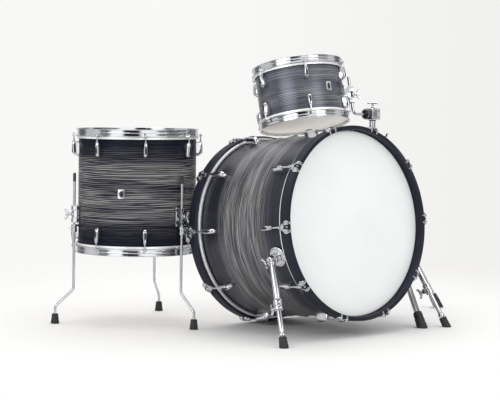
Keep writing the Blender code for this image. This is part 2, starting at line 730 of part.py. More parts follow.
def make_lower_collar(stand, height):
    """The fixed collar at the foot of the outer tube, with a pair of ears for each strut."""
    place = frame("stand_lower_collar_frame", stand, Matrix.Translation((0, 0, height)))
    ring = tube(COLLAR_RADIUS, STAND_TUBE_RADIUS + GAP, -COLLAR_HEIGHT / 2, COLLAR_HEIGHT / 2, 16)
    inner = STRUT_THICKNESS / 2 + RUNNING_GAP
    outer = inner + EAR_THICKNESS
    reach = TRIPOD_HINGE_RADIUS + STRUT_WIDTH / 2
    ears = []
    for angle in STAND_LEG_ANGLES:
        for low, high in ((-outer, -inner), (inner, outer)):
            ear = box((COLLAR_RADIUS - 0.002, low, -EAR_HEIGHT / 2), (reach, high, EAR_HEIGHT / 2))
            ears.append(placed(ear, turned_by(angle)))
    node("stand_lower_collar", "chrome", place, [ring] + ears)


def make_upper_collar(collar):
    """The sliding collar, with a bored tongue for each leg and its lock screw's block."""
    ring = tube(COLLAR_RADIUS, STAND_TUBE_RADIUS + RUNNING_GAP, -COLLAR_HEIGHT / 2, COLLAR_HEIGHT / 2, 16)
    reach = TRIPOD_HINGE_RADIUS + PIN_RADIUS * 2.5
    half = TONGUE_THICKNESS / 2
    tongue = box((COLLAR_RADIUS - 0.002, -half, -TONGUE_HEIGHT / 2), (reach, half, TONGUE_HEIGHT / 2))
    bore = cylinder(PIN_RADIUS + RUNNING_GAP, -half * 2, half * 2, 12)
    bore = placed(bore, pin_place(TRIPOD_HINGE_RADIUS, 0))
    tongues = [placed(tongue, turned_by(angle)) for angle in STAND_LEG_ANGLES]
    bores = [placed(bore, turned_by(angle)) for angle in STAND_LEG_ANGLES]
    first, second = STAND_LEG_ANGLES[:2]
    screw_turn = turned_by((first + second) / 2)
    face = COLLAR_RADIUS + 0.006
    block = placed(box((COLLAR_RADIUS - 0.002, -0.009, -0.010), (face, 0.009, 0.010)), screw_turn)
    node("stand_upper_collar", "chrome", collar, [ring, block] + tongues, bores)
    towards = screw_turn @ Vector((1, 0, 0))
    make_wing_bolt("stand_collar_wing", collar, axes_at(towards * face, towards, Vector((0, 0, 1))))


def pin_place(x, z):
    """A place with Z across the leg, along Y, through a point in the leg's own plane."""
    return Matrix.Translation((x, 0, z)) @ Matrix.Rotation(math.radians(90.0), 4, "X")


def make_stand_leg(number, angle, collar):
    """A leg of two strips that straddles its tongue and its strut, in a rubber boot."""
    lean = tripod_lean()
    at_hinge = turned_by(angle) @ Matrix.Translation((TRIPOD_HINGE_RADIUS, 0, 0))
    hinge = frame(f"stand_leg_{number}_hinge", collar, at_hinge @ Matrix.Rotation(-lean, 4, "Y"))
    ground = turned_by(angle) @ Vector((TRIPOD_FOOT_RADIUS, 0, 0)) + stand_place()
    length = (in_kit(hinge).inverted() @ ground).length
    end = length - 0.3 * BOOT_LENGTH
    inner = TONGUE_THICKNESS / 2 + RUNNING_GAP
    outer = inner + STRIP_THICKNESS
    half = STRIP_WIDTH / 2
    sides = ((-outer, -inner), (inner, outer))
    strips = [box((-half, low, -end), (half, high, 0.006)) for low, high in sides]
    pins = [placed(cylinder(PIN_RADIUS, -outer, outer, 10), pin_place(0, z)) for z in (0, -TRIPOD_STRUT)]
    spacer = box((-half, -outer, -end), (half, outer, -end + BOOT_COVER))
    node(f"stand_leg_{number}", "chrome", hinge, strips[:1] + [strips[1], spacer] + pins)

    boot_top = Matrix.Translation((0, 0, -length + BOOT_LENGTH))
    pocket = box((-half - GAP, -outer - GAP, -end - GAP), (half + GAP, outer + GAP, 0))
    make_foot(f"stand_leg_{number}_boot", hinge, boot_top, BOOT_TOP, ground, BOOT_BASE, pocket)

    at_strut = Matrix.Translation((0, 0, -TRIPOD_STRUT)) @ Matrix.Rotation(2 * lean, 4, "Y")
    joint = frame(f"stand_strut_{number}_hinge", hinge, at_strut)
    half = STRUT_WIDTH / 2
    thick = STRUT_THICKNESS / 2
    bar = box((-half, -thick, -TRIPOD_STRUT - half), (half, thick, half))
    bore = placed(cylinder(PIN_RADIUS + RUNNING_GAP, -thick * 2, thick * 2, 12), pin_place(0, 0))
    node(f"stand_strut_{number}", "chrome", joint, [bar], [bore])


# Tom holder, L-rod and rack tom


def make_holder(stand):
    """The block on top of the stand, which swivels on a spigot in the upper tube."""
    swivel = frame("stand_holder_swivel", stand, Matrix.Translation((0, 0, rod_height())))
    half, deep = HOLDER_SIZE / 2, HOLDER_DEPTH / 2
    block = box((-half, -deep, -half), (half, deep, half))
    spigot = UPPER_TUBE_RADIUS - UPPER_TUBE_WALL - RUNNING_GAP
    spigot = cylinder(spigot, -half - SPIGOT_LENGTH, -half + 0.002, 16)
    pocket = cylinder(KNUCKLE_PIN + RUNNING_GAP, half - 0.012, half + LONG_CUT, 12)
    pocket = placed(pocket, axes_at(Vector(), Vector((-1, 0, 0)), Vector((0, 0, 1))))
    node("stand_holder", "chrome", swivel, [block, spigot], [pocket])
    on_top = Matrix.Translation((0, 0, half)) @ turned_by(CLAMP_TURN)
    make_wing_bolt("stand_holder_wing", swivel, on_top)
    return swivel


def make_l_rod(swivel):
    """The bent rod and the ratchet knuckle at its end, which tilts against the holder."""
    tilt = frame("tom_tilt_axis", swivel, axes_at(Vector(), Vector((-1, 0, 0)), Vector((0, 0, 1))))
    up = Vector((
        math.sin(RACK_LEAN_SIDE),
        math.cos(RACK_LEAN_SIDE) * math.sin(RACK_LEAN_BACK),
        math.cos(RACK_LEAN_SIDE) * math.cos(RACK_LEAN_BACK),
    ))
    face = HOLDER_SIZE / 2 + GAP
    corner = Vector((-face - L_ROD_ARM, 0, 0))
    to_tilt = tilt.matrix_basis.inverted()
    path = [
        to_tilt @ point for point in (
            Vector((-face - KNUCKLE_LENGTH / 2, 0, 0)), corner + Vector((L_ROD_BEND, 0, 0)),
            corner + up * L_ROD_BEND, corner + up * L_ROD_UP,
        )
    ]
    knuckle = cylinder(KNUCKLE_RADIUS, face, face + KNUCKLE_LENGTH, 16)
    pin = cylinder(KNUCKLE_PIN, face - 0.010, face + 0.002, 12)
    node("tom_l_rod", "chrome", tilt, [bent_rod(path, L_ROD_RADIUS, 10), knuckle, pin])
    turn = to_tilt @ axes_at(corner, up, Vector((1, 0, 0)))
    return frame("tom_turn_axis", tilt, turn)


def make_rack_tom(turn):
    """The rack tom, hung on the upright of the L-rod by its shell bracket."""
    half = RACK_TOM.depth / 2
    out = RACK_TOM.radius + RACK_BRACKET_OUT
    rise = RACK_RIM_ABOVE_BEND + STEEL_HOOP_ABOVE + half
    beside = turned_by(RACK_BRACKET_ANGLE) @ Vector((out, 0, 0))
    drum = frame("rack_tom_frame", turn, Matrix.Translation(Vector((0, 0, rise)) - beside))
    turned_drum = frame("rack_tom_lugs", drum, turned_by(RACK_LUG_ANGLE))
    make_tom(RACK_TOM, turned_drum)

    place = frame("tom_bracket_frame", drum, turned_by(RACK_BRACKET_ANGLE))
    low = RACK_BRACKET_LOW - STEEL_HOOP_ABOVE - half
    high = low + RACK_BRACKET_HEIGHT
    face = RACK_TOM.radius + GAP
    wide = RACK_BRACKET_WIDTH / 2
    reach = out + RACK_CLAMP_RADIUS
    plate = box((face, -wide, low), (face + RACK_BRACKET_PLATE, wide, high))
    arm = box(
        (face + RACK_BRACKET_PLATE - 0.002, -RACK_CLAMP_RADIUS, low + 0.006),
        (reach, RACK_CLAMP_RADIUS, high - 0.006),
    )
    bore = cylinder(L_ROD_RADIUS + RUNNING_GAP, low - LONG_CUT, high + LONG_CUT, 14)
    bore = placed(bore, Matrix.Translation((out, 0, 0)))
    node("tom_bracket", "chrome", place, [plate, arm], [bore])
    on_arm = axes_at(Vector((reach, 0, (low + high) / 2)), Vector((1, 0, 0)), Vector((0, 0, 1)))
    make_wing_bolt("tom_bracket_wing", place, on_arm)


def centre_on_floor(kit):
    """Moves the kit so that the origin is at the middle of its footprint, on the floor."""
    bpy.context.view_layer.update()
    graph = bpy.context.evaluated_depsgraph_get()
    low, high = Vector((1e9,) * 3), Vector((-1e9,) * 3)
    for obj in bpy.context.scene.collection.objects:
        if obj.type != "MESH" or obj.hide_render:
            continue
        evaluated = obj.evaluated_get(graph)
        for vertex in evaluated.data.vertices:
            point = evaluated.matrix_world @ vertex.co
            low = Vector(map(min, low, point))
            high = Vector(map(max, high, point))
    kit.location = -Vector(((low.x + high.x) / 2, (low.y + high.y) / 2, low.z))
    bpy.context.view_layer.update()


def main():
    clear_scene()
    kit = frame("kit_frame", None, Matrix.Identity(4))
    make_bass(kit)
    make_floor_tom(kit)
    stand = make_stand(kit)
    swivel = make_holder(stand)
    turn = make_l_rod(swivel)
    make_rack_tom(turn)
    centre_on_floor(kit)


main()
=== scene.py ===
import json
import math

import bmesh
import bpy
from mathutils import Matrix, Vector


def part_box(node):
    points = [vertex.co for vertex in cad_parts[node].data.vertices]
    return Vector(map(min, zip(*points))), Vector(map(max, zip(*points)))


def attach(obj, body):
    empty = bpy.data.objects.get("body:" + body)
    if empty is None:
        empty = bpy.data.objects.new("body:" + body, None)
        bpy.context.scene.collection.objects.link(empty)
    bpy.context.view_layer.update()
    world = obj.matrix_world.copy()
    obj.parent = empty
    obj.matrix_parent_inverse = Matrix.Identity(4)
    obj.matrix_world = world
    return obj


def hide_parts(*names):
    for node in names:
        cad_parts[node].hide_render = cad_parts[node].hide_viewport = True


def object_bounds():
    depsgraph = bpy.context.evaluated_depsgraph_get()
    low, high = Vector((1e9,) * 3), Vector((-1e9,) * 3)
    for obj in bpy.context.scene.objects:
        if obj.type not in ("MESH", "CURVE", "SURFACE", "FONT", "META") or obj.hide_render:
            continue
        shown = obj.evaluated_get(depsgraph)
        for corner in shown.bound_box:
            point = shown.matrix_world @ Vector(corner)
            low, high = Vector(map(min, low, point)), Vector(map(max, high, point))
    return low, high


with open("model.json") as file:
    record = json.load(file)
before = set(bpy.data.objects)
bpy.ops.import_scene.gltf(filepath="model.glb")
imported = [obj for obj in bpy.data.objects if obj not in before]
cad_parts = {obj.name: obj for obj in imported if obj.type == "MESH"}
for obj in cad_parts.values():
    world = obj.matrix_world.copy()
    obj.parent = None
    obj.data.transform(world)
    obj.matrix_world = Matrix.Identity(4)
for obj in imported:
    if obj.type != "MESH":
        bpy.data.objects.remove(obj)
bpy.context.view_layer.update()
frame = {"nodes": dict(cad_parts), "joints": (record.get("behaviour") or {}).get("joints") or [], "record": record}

joints = {joint["name"]: joint for joint in frame["joints"]}
mounts = {mount["name"]: mount for mount in frame["record"]["mounts"]}
up = Vector((0, 0, 1))
east = Vector((1, 0, 0))
gap = 0.0003  # the clearance between pieces that touch
roundSides = 48
sharpAngle = math.radians(38)


# Places, read from the frame

def axesAt(origin, zAxis, towards):
    zAxis, towards = Vector(zAxis).normalized(), Vector(towards)
    xAxis = (towards - zAxis * towards.dot(zAxis)).normalized()
    matrix = Matrix((xAxis, zAxis.cross(xAxis), zAxis)).transposed().to_4x4()
    matrix.translation = Vector(origin)
    return matrix


def jointAt(name):
    return Vector(joints[name]["pos_m"])


def jointAlong(name):
    return Vector(joints[name]["axis"]).normalized()


def boxMiddle(node):
    low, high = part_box(node)
    return (low + high) / 2


def reachOf(node, place):  # a node's widest radius and its lowest and highest point about a place's Z
    toLocal = place.inverted()
    points = [toLocal @ vertex.co for vertex in frame["nodes"][node].data.vertices]
    heights = [point.z for point in points]
    return max(point.xy.length for point in points), min(heights), max(heights)


def moved(x=0.0, y=0.0, z=0.0):
    return Matrix.Translation((x, y, z))


def spun(angle, axis="Z"):
    return Matrix.Rotation(angle, 4, axis)


lying = spun(math.pi / 2, "X")  # lays what stands on Z along Y
outOfPlate = axesAt((0, 0, 0), east, up)  # turns what stands on Z along X
outOfDrum = axesAt((0, 0, 0), east, (0, 1, 0))


# Solids: points and the faces over them

def ringOf(radius, height=0.0, sides=roundSides, turn=0.0):
    angles = [turn + math.tau * i / sides for i in range(sides)]
    return [Vector((radius * math.cos(a), radius * math.sin(a), height)) for a in angles]


def loft(rings, loop=False):
    sides = len(rings[0])
    points = [point for ring in rings for point in ring]
    faces = []
    for band in range(len(rings) if loop else len(rings) - 1):
        start, end = band * sides, (band + 1) % len(rings) * sides
        for i in range(sides):
            j = (i + 1) % sides
            faces.append([start + i, start + j, end + j, end + i])
    if not loop:
        faces.append(list(range(sides)))
        faces.append(list(range(len(points) - sides, len(points))))
    return points, faces


def rounded(corners, radius, steps=3, closed=True):  # an outline with its corners eased
    corners = [Vector(corner) for corner in corners]
    made = []
    for i, corner in enumerate(corners):
        if not closed and i in (0, len(corners) - 1):
            made.append(corner)
            continue
        before, after = corners[i - 1] - corner, corners[(i + 1) % len(corners)] - corner
        start = corner + before.normalized() * min(radius, 0.45 * before.length)
        end = corner + after.normalized() * min(radius, 0.45 * after.length)
        for step in range(steps + 1):
            t = step / steps
            made.append(start * (1 - t) ** 2 + corner * (2 * t * (1 - t)) + end * t * t)
    return made


def ringSolid(profile, ease=0.0005, sides=roundSides, steps=3):  # turned about Z, open in the middle
    return loft([ringOf(r, z, sides) for r, z in rounded(profile, ease, steps)], loop=True)


def turned(profile, ease=0.0005, sides=roundSides, steps=3):  # turned about Z, closed at both ends
    return loft([ringOf(r, z, sides) for r, z in rounded(profile, ease, steps, closed=False)])


def disc(inner, outer, low, high, ease=0.0005, sides=roundSides):
    return turned([(inner, low), (outer, low), (outer, high), (inner, high)], ease, sides)


def pin(radius, low, high, ease=0.0005, sides=roundSides):
    return disc(max(radius - ease * 2, radius * 0.5), radius, low, high, ease, sides)


def crossPin(radius, low, high, ease, sides, height):  # a pin along Y, at a height
    return at(pin(radius, low, high, ease, sides), moved(0, 0, height) @ lying)


def oblong(half, low, high):
    return [(-half, low), (half, low), (half, high), (-half, high)]


def slab(outline, low, high):
    return loft([[Vector((x, y, z)) for x, y in outline] for z in (low, high)])


def plateAcrossX(outline, low, high):
    return loft([[Vector((x, y, z)) for y, z in outline] for x in (low, high)])


def plateAcrossY(outline, low, high):
    return loft([[Vector((x, y, z)) for x, z in outline] for y in (low, high)])


def squareHead(half, low, high):
    return slab(oblong(half, -half, half), low, high)


def block(low, high):
    outline = [(low[0], low[1]), (high[0], low[1]), (high[0], high[1]), (low[0], high[1])]
    return slab(outline, low[2], high[2])


def at(solid, matrix):
    return [matrix @ Vector(point) for point in solid[0]], solid[1]


# Pieces

def makeMesh(name, solids, material, place=Matrix(), bevel=0.0, segments=2):
    shape = bmesh.new()
    for points, faces in solids:
        corners = [shape.verts.new(place @ Vector(point)) for point in points]
        for face in faces:
            shape.faces.new([corners[i] for i in face])
    bmesh.ops.recalc_face_normals(shape, faces=shape.faces)
    if bevel:
        edges = [edge for edge in shape.edges if edge.calc_face_angle(0.0) > sharpAngle]
        bmesh.ops.bevel(
            shape, geom=edges, offset=bevel, segments=segments, profile=0.5,
            affect="EDGES", clamp_overlap=True,
        )
    mesh = bpy.data.meshes.new(name)
    shape.to_mesh(mesh)
    shape.free()
    mesh.materials.append(material)
    smooth(mesh)
    obj = bpy.data.objects.new(name, mesh)
    bpy.context.scene.collection.objects.link(obj)
    return obj


def smooth(mesh):
    mesh.shade_smooth()
    mesh.set_sharp_from_angle(angle=sharpAngle)


def keep(obj, body, slot, *nodes):  # a finished piece goes with its body and stands for its nodes
    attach(obj, body)
    if nodes:
        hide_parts(*nodes)
    return obj


def makePiece(name, body, solids, material, place=Matrix(), nodes=(), bevel=0.0, segments=2):
    obj = makeMesh(name, solids, material, place, bevel, segments)
    return keep(obj, body, slotOf(material), *nodes)


def slotOf(material):
    return slots.get(material.name, "chrome")


def wrapAround(obj, drum):  # a map in metres: round the drum from its seam, then along its axis
    toLocal = (drum["place"] @ spun(drum["seam"] + math.pi)).inverted()
    mesh = obj.data
    layer = mesh.uv_layers.new(name="wrap")
    local = [toLocal @ vertex.co for vertex in mesh.vertices]
    for polygon in mesh.polygons:
        middle = sum((local[i] for i in polygon.vertices), Vector()) / len(polygon.vertices)
        facing = math.atan2(middle.y, middle.x)
        for loop in polygon.loop_indices:
            point = local[mesh.loops[loop].vertex_index]
            angle = math.atan2(point.y, point.x)
            angle -= math.tau * round((angle - facing) / math.tau)
            layer.data[loop].uv = (angle * point.xy.length, point.z)


# Node trees

class Wire:
    def __init__(self, tree, socket=None):
        self.tree = tree
        self.socket = socket

    def node(self, kind, settings=None, values=None, output=0):
        made = self.tree.nodes.new(kind)
        for key, value in (settings or {}).items():
            if key == "stops":
                elements = made.color_ramp.elements
                while len(elements) < len(value):
                    elements.new(0.5)
                for element, (position, colour) in zip(elements, value):
                    element.position = position
                    element.color = (*colour, 1.0)
            else:
                setattr(made, key, value)
        for key, value in (values or {}).items():
            if isinstance(value, Wire):
                self.tree.links.new(value.socket, made.inputs[key])
            else:
                made.inputs[key].default_value = value
        return Wire(self.tree, made.outputs[output])

    def maths(self, operation, first, second=0.0):
        return self.node("ShaderNodeMath", {"operation": operation}, {0: first, 1: second})

    def __add__(self, other):
        return self.maths("ADD", self, other)

    def __sub__(self, other):
        return self.maths("SUBTRACT", self, other)

    def __mul__(self, other):
        return self.maths("MULTIPLY", self, other)

    def __truediv__(self, other):
        return self.maths("DIVIDE", self, other)

    def __abs__(self):
        return self.maths("ABSOLUTE", self)

    __radd__ = __add__
    __rmul__ = __mul__

    def larger(self, other):
        return self.maths("MAXIMUM", self, other)

    def eased(self, low, high, bottom=0.0, top=1.0):
        settings = {"interpolation_type": "SMOOTHSTEP"}
        values = {0: self, 1: low, 2: high, 3: bottom, 4: top}
        return self.node("ShaderNodeMapRange", settings, values)

    def blend(self, first, second):  # two colours, by this value
        settings = {"data_type": "RGBA"}
        values = {0: self, 6: colourOf(first), 7: colourOf(second)}
        return self.node("ShaderNodeMix", settings, values, output=2)

    def grain(self, x, y, z=0.0, detail=2.0, rough=0.5):
        place = self.node("ShaderNodeCombineXYZ", None, {0: x, 1: y, 2: z})
        values = {"Vector": place, "Scale": 1.0, "Detail": detail, "Roughness": rough}
        return self.node("ShaderNodeTexNoise", None, values)


def colourOf(value):
    return value if isinstance(value, Wire) else (*value, 1.0)


def startMaterial(name):
    material = bpy.data.materials.new(name)
    material.use_nodes = True
    tree = material.node_tree
    tree.nodes.clear()
    return material, Wire(tree)


def finishMaterial(wire, values, bump=None, bumpStrength=0.1, bumpDistance=0.0002):
    values = dict(values)
    if bump is not None:
        settings = {"Height": bump, "Strength": bumpStrength, "Distance": bumpDistance}
        values["Normal"] = wire.node("ShaderNodeBump", None, settings)
    shader = wire.node("ShaderNodeBsdfPrincipled", None, values)
    end = wire.tree.nodes.new("ShaderNodeOutputMaterial")
    wire.tree.links.new(shader.socket, end.inputs["Surface"])


def objectPlace(wire):
    coordinates = wire.node("ShaderNodeTexCoord", None, None, output=3)
    return [wire.node("ShaderNodeSeparateXYZ", None, {0: coordinates}, output=i) for i in range(3)]


def grainAt(wire, place, scale, detail, rough=0.5):
    return wire.grain(*(part * scale for part in place), detail, rough)


wrapLook = {
    "dark": (0.0048, 0.0056, 0.0115),
    "middle": (0.016, 0.019, 0.036),
    "strand": (0.40, 0.385, 0.36),
    "pitch": 205.0,       # lines to a metre, up the shell
    "wander": 0.020,      # how far a line strays, in metres
}


def wrapPlace(wire):
    uv = wire.node("ShaderNodeUVMap", {"uv_map": "wrap"})
    return [wire.node("ShaderNodeSeparateXYZ", None, {0: uv}, output=i) for i in range(2)]


def wrapMaterial(name, halfDepth, edge, strength, sheen):
    material, wire = startMaterial(name)
    around, along = wrapPlace(wire)
    lines = []
    for layer, (share, run) in enumerate(((1.0, 1.6), (0.76, 2.3))):
        stray = wire.grain(around * run, along * 6.0, 3.7 * layer, 2.0) - 0.5
        ripple = wire.grain(around * run * 6.0, along * 30.0, 9.1 + layer, 1.0) - 0.5
        bent = along + stray * wrapLook["wander"] + ripple * 0.0036
        wave = wire.maths("SINE", bent * (math.tau * share * wrapLook["pitch"]))
        length = bent * wrapLook["pitch"] * 0.7
        broken = wire.grain(around * run * 3.0, length, 1.3 * layer, 2.0).eased(0.36, 0.56)
        lines.append(wave.eased(0.10, 0.92) * broken)
    crossing = lines[0].larger(lines[1])
    hair = wire.grain(around * 26.0, along * 900.0, 9.0, 2.0).eased(0.42, 0.72)
    patch = wire.grain(around * 2.6, along * 20.0, 5.0, 2.0).eased(0.32, 0.60, 0.40, 1.0)
    inner = (abs(along) / halfDepth).eased(edge - 0.26, edge + 0.22, 1.0, 0.06)
    lit = crossing * patch * inner * strength
    base = (hair * 0.5 + patch * inner * 0.5).blend(wrapLook["dark"], wrapLook["middle"])
    values = {
        "Base Color": lit.blend(base, wrapLook["strand"]),
        "Roughness": 0.30 + hair * 0.10,
        "IOR": 1.5 + 0.6 * sheen,
        "Specular IOR Level": 0.03 + sheen,
        "Specular Tint": (0.80, 0.85, 1.0, 1.0),
    }
    finishMaterial(wire, values, crossing, 0.10, 0.0001)
    return material


def hoopMaterial(name):
    material, wire = startMaterial(name)
    around, along = wrapPlace(wire)
    strand = wire.grain(around * 5.0, along * 620.0, 1.0, 2.0).eased(0.48, 0.75)
    cloud = wire.grain(around * 4.0, along * 30.0, 8.0, 2.0)
    shade = strand * 0.55 + cloud * 0.25
    values = {
        "Base Color": shade.blend((0.009, 0.010, 0.017), (0.062, 0.066, 0.092)),
        "Roughness": 0.42 + cloud * 0.15,
        "Specular IOR Level": 0.12,
    }
    finishMaterial(wire, values, strand, 0.10, 0.0001)
    return material


def metalMaterial(name, bright, dull, rough, spread, grains=14.0, metallic=1.0):
    material, wire = startMaterial(name)
    smudge = grainAt(wire, objectPlace(wire), grains, 3.0, 0.6)
    values = {
        "Base Color": smudge.eased(0.35, 0.70).blend(bright, dull),
        "Roughness": rough + smudge * spread,
        "Metallic": metallic,
    }
    finishMaterial(wire, values)
    return material


def filmMaterial(name, clean, worn, rough, grains, strength, paintedGlow=0.0):  # painted glow: the last argument is an emission in the film's own colour that lightens it where it lies in shade
    material, wire = startMaterial(name)
    place = objectPlace(wire)
    cloud = grainAt(wire, place, 5.0, 3.0)
    speck = grainAt(wire, place, grains, 2.0)
    shade = (cloud * 0.7 + speck * 0.3).eased(0.35, 0.70).blend(clean, worn)
    values = {
        "Base Color": shade,
        "Roughness": rough + speck * 0.12,
        # the emission is painted glow, lightening the film where it lies in shade
        "Emission Color": shade,
        "Emission Strength": paintedGlow,
    }
    finishMaterial(wire, values, speck, strength, 0.0001)
    return material


def mouldedMaterial(name, dark, pale, rough, grains, strength):
    material, wire = startMaterial(name)
    place = objectPlace(wire)
    grit = grainAt(wire, place, grains, 3.0)
    dust = grainAt(wire, place, 22.0, 2.0).eased(0.45, 0.80)
    values = {
        "Base Color": (grit * 0.4 + dust * 0.6).blend(dark, pale),
        "Roughness": rough + dust * 0.18,
    }
    finishMaterial(wire, values, grit, strength, 0.0002)
    return material


chrome = metalMaterial("chromePlate", (0.63, 0.64, 0.66), (0.54, 0.55, 0.58), 0.045, 0.07)
darkChrome = metalMaterial("smokedChrome", (0.10, 0.10, 0.11), (0.05, 0.05, 0.06), 0.16, 0.12)
spunAluminium = metalMaterial("spunAluminium", (0.97, 0.97, 0.97), (0.90, 0.90, 0.91), 0.28, 0.14, 60.0, 0.6)
badgeMetal = metalMaterial("badgeMetal", (0.74, 0.74, 0.73), (0.55, 0.55, 0.55), 0.22, 0.14, 90.0)
coatedHead = filmMaterial("coatedHead", (0.80, 0.81, 0.81), (0.76, 0.77, 0.77), 0.36, 900.0, 0.10)
# the hazy far heads get 0.16 of painted glow, lightening them where they lie in shade
hazyHead = filmMaterial("hazyHead", (0.97, 0.925, 0.85), (0.93, 0.87, 0.78), 0.30, 300.0, 0.05, 0.16)
rubber = mouldedMaterial("blackRubber", (0.008, 0.008, 0.009), (0.030, 0.030, 0.032), 0.55, 500.0, 0.25)
nylon = mouldedMaterial("blackNylon", (0.010, 0.010, 0.011), (0.028, 0.028, 0.030), 0.34, 350.0, 0.10)
slots = {
    "coatedHead": "coated_head", "hazyHead": "clear_head", "blackRubber": "rubber", "blackNylon": "rubber",
}
print("materials made")


def startTree(name, sockets):
    tree = bpy.data.node_groups.new(name, "GeometryNodeTree")
    tree.interface.new_socket("Geometry", in_out="OUTPUT", socket_type="NodeSocketGeometry")
    for title, kind in sockets:
        tree.interface.new_socket(title, in_out="INPUT", socket_type=kind)
    group = tree.nodes.new("NodeGroupInput")
    return tree, {socket.name: Wire(tree, socket) for socket in group.outputs if socket.name}


def endTree(tree, geometry, material):
    real = geometry.node("GeometryNodeRealizeInstances", None, {"Geometry": geometry})
    painted = real.node("GeometryNodeSetMaterial", None, {"Geometry": real, "Material": material})
    end = tree.nodes.new("NodeGroupOutput")
    tree.links.new(painted.socket, end.inputs[0])
    return tree


def copiesTree():  # copies of a fitting round Z, in rows up Z
    sockets = [
        ("Geometry", "NodeSocketGeometry"), ("Count", "NodeSocketInt"), ("Rows", "NodeSocketInt"),
        ("Row Step", "NodeSocketFloat"), ("Row Turn", "NodeSocketFloat"), ("Turn", "NodeSocketFloat"),
        ("Material", "NodeSocketMaterial"),
    ]
    tree, inputs = startTree("copiesRound", sockets)
    wire = Wire(tree)
    count = inputs["Count"]
    index = wire.node("GeometryNodeInputIndex")
    row = wire.maths("FLOOR", index / count + 0.0001)
    angle = index * math.tau / count + row * inputs["Row Turn"] + inputs["Turn"]
    height = wire.node("ShaderNodeCombineXYZ", None, {2: row * inputs["Row Step"]})
    spots = wire.node("GeometryNodePoints", None, {"Count": count * inputs["Rows"], "Position": height})
    turn = wire.node("ShaderNodeCombineXYZ", None, {2: angle})
    one = wire.node("GeometryNodeGeometryToInstance", None, {0: inputs["Geometry"]})
    values = {"Points": spots, "Instance": one, "Rotation": turn}
    copies = wire.node("GeometryNodeInstanceOnPoints", None, values)
    return endTree(tree, copies, inputs["Material"])


def rodTree():  # a round rod along a bent line, with eased bends
    sockets = [
        ("Geometry", "NodeSocketGeometry"), ("Radius", "NodeSocketFloat"), ("Bend", "NodeSocketFloat"),
        ("Sides", "NodeSocketInt"), ("Material", "NodeSocketMaterial"),
    ]
    tree, inputs = startTree("bentRod", sockets)
    wire = Wire(tree)
    line = wire.node("GeometryNodeMeshToCurve", None, {0: inputs["Geometry"]})
    values = {"Curve": line, "Count": 10, "Radius": inputs["Bend"], "Limit Radius": True}
    eased = wire.node("GeometryNodeFilletCurve", {"mode": "POLY"}, values)
    values = {"Resolution": inputs["Sides"], "Radius": inputs["Radius"]}
    section = wire.node("GeometryNodeCurvePrimitiveCircle", None, values)
    values = {"Curve": eased, "Profile Curve": section, "Fill Caps": True}
    rod = wire.node("GeometryNodeCurveToMesh", None, values)
    return endTree(tree, rod, inputs["Material"])


def runTree(obj, tree, values):
    modifier = obj.modifiers.new(tree.name, "NODES")
    modifier.node_group = tree
    for item in tree.interface.items_tree:
        if item.in_out == "INPUT" and item.name in values:
            modifier[item.identifier] = values[item.name]
    bpy.context.view_layer.update()
    graph = bpy.context.evaluated_depsgraph_get()
    mesh = bpy.data.meshes.new_from_object(obj.evaluated_get(graph))
    obj.modifiers.clear()
    obj.data = mesh


copiesRound = copiesTree()
bentRod = rodTree()


def copyRound(name, body, solids, material, place, count, turn=0.0, rows=(1, 0.0, 0.0), bevel=0.0):
    obj = makeMesh(name, solids, material, Matrix(), bevel)
    values = {
        "Count": count, "Rows": rows[0], "Row Step": rows[1], "Row Turn": rows[2],
        "Turn": turn, "Material": material,
    }
    runTree(obj, copiesRound, values)
    obj.data.transform(place)
    return keep(obj, body, slotOf(material))


def rodAlong(name, body, path, radius, bend, material, node, sides=24):
    mesh = bpy.data.meshes.new(name)
    mesh.from_pydata([Vector(point) for point in path], [(i, i + 1) for i in range(len(path) - 1)], [])
    obj = bpy.data.objects.new(name, mesh)
    bpy.context.scene.collection.objects.link(obj)
    runTree(obj, bentRod, {"Radius": radius, "Bend": bend, "Sides": sides, "Material": material})
    smooth(obj.data)
    return keep(obj, body, slotOf(material), node)


# Drums

bassDrum = {
    "name": "bass", "body": "kit", "sides": 224, "lugs": 10, "lugTurn": 0.0, "seam": math.radians(54.0),
    "fleshWidth": 0.0099, "fleshDrop": 0.009, "fleshHeight": 0.010, "wall": 0.0075,
    "lugLength": 0.058, "lugWidth": 0.020, "rodFree": 0.034, "rodOut": 0.0220,
}
floorTom = {
    "name": "floor_tom", "body": "kit", "sides": 176, "lugs": 8, "lugTurn": 0.0, "seam": math.radians(22.0),
    "fleshWidth": 0.0075, "fleshDrop": 0.016, "fleshHeight": 0.008, "wall": 0.006,
    "lugLength": 0.050, "lugWidth": 0.017, "rodFree": 0.020, "rodOut": 0.0175,
    "badgeTurn": math.radians(-157.2), "badgeHeight": -0.004, "badgeSize": (0.024, 0.031),
}
rackTom = {
    "name": "rack_tom", "body": "rack_tom", "sides": 144, "lugs": 6, "lugTurn": math.radians(56.0),
    "seam": math.radians(26.0),
    "fleshWidth": 0.0075, "fleshDrop": 0.016, "fleshHeight": 0.008, "wall": 0.006,
    "lugLength": 0.046, "lugWidth": 0.017, "rodFree": 0.014, "rodOut": 0.0175,
    "badgeTurn": math.radians(-93.0), "badgeHeight": 0.0, "badgeSize": (0.021, 0.032),
}
filmThickness = 0.001


def measureDrum(drum, axis, towards, otherHead, otherHoop):
    name = drum["name"]
    place = axesAt(boxMiddle(f"{name}_shell"), axis, towards)
    drum["place"] = place
    widest, _, high = reachOf(f"{name}_batter_head", place)
    drum["radius"] = widest - drum["fleshWidth"]
    drum["half"] = high - gap - filmThickness
    drum["fleshTop"] = drum["half"] - drum["fleshDrop"]
    drum["hoopLow"] = drum["fleshTop"] + gap
    drum["lugEnd"] = drum["hoopLow"] - drum["rodFree"]
    drum["rodRadius"] = drum["radius"] + drum["rodOut"]
    drum["heads"] = {1: f"{name}_batter_head", -1: f"{name}_{otherHead}"}
    drum["hoops"] = {1: f"{name}_batter_hoop", -1: f"{name}_{otherHoop}"}


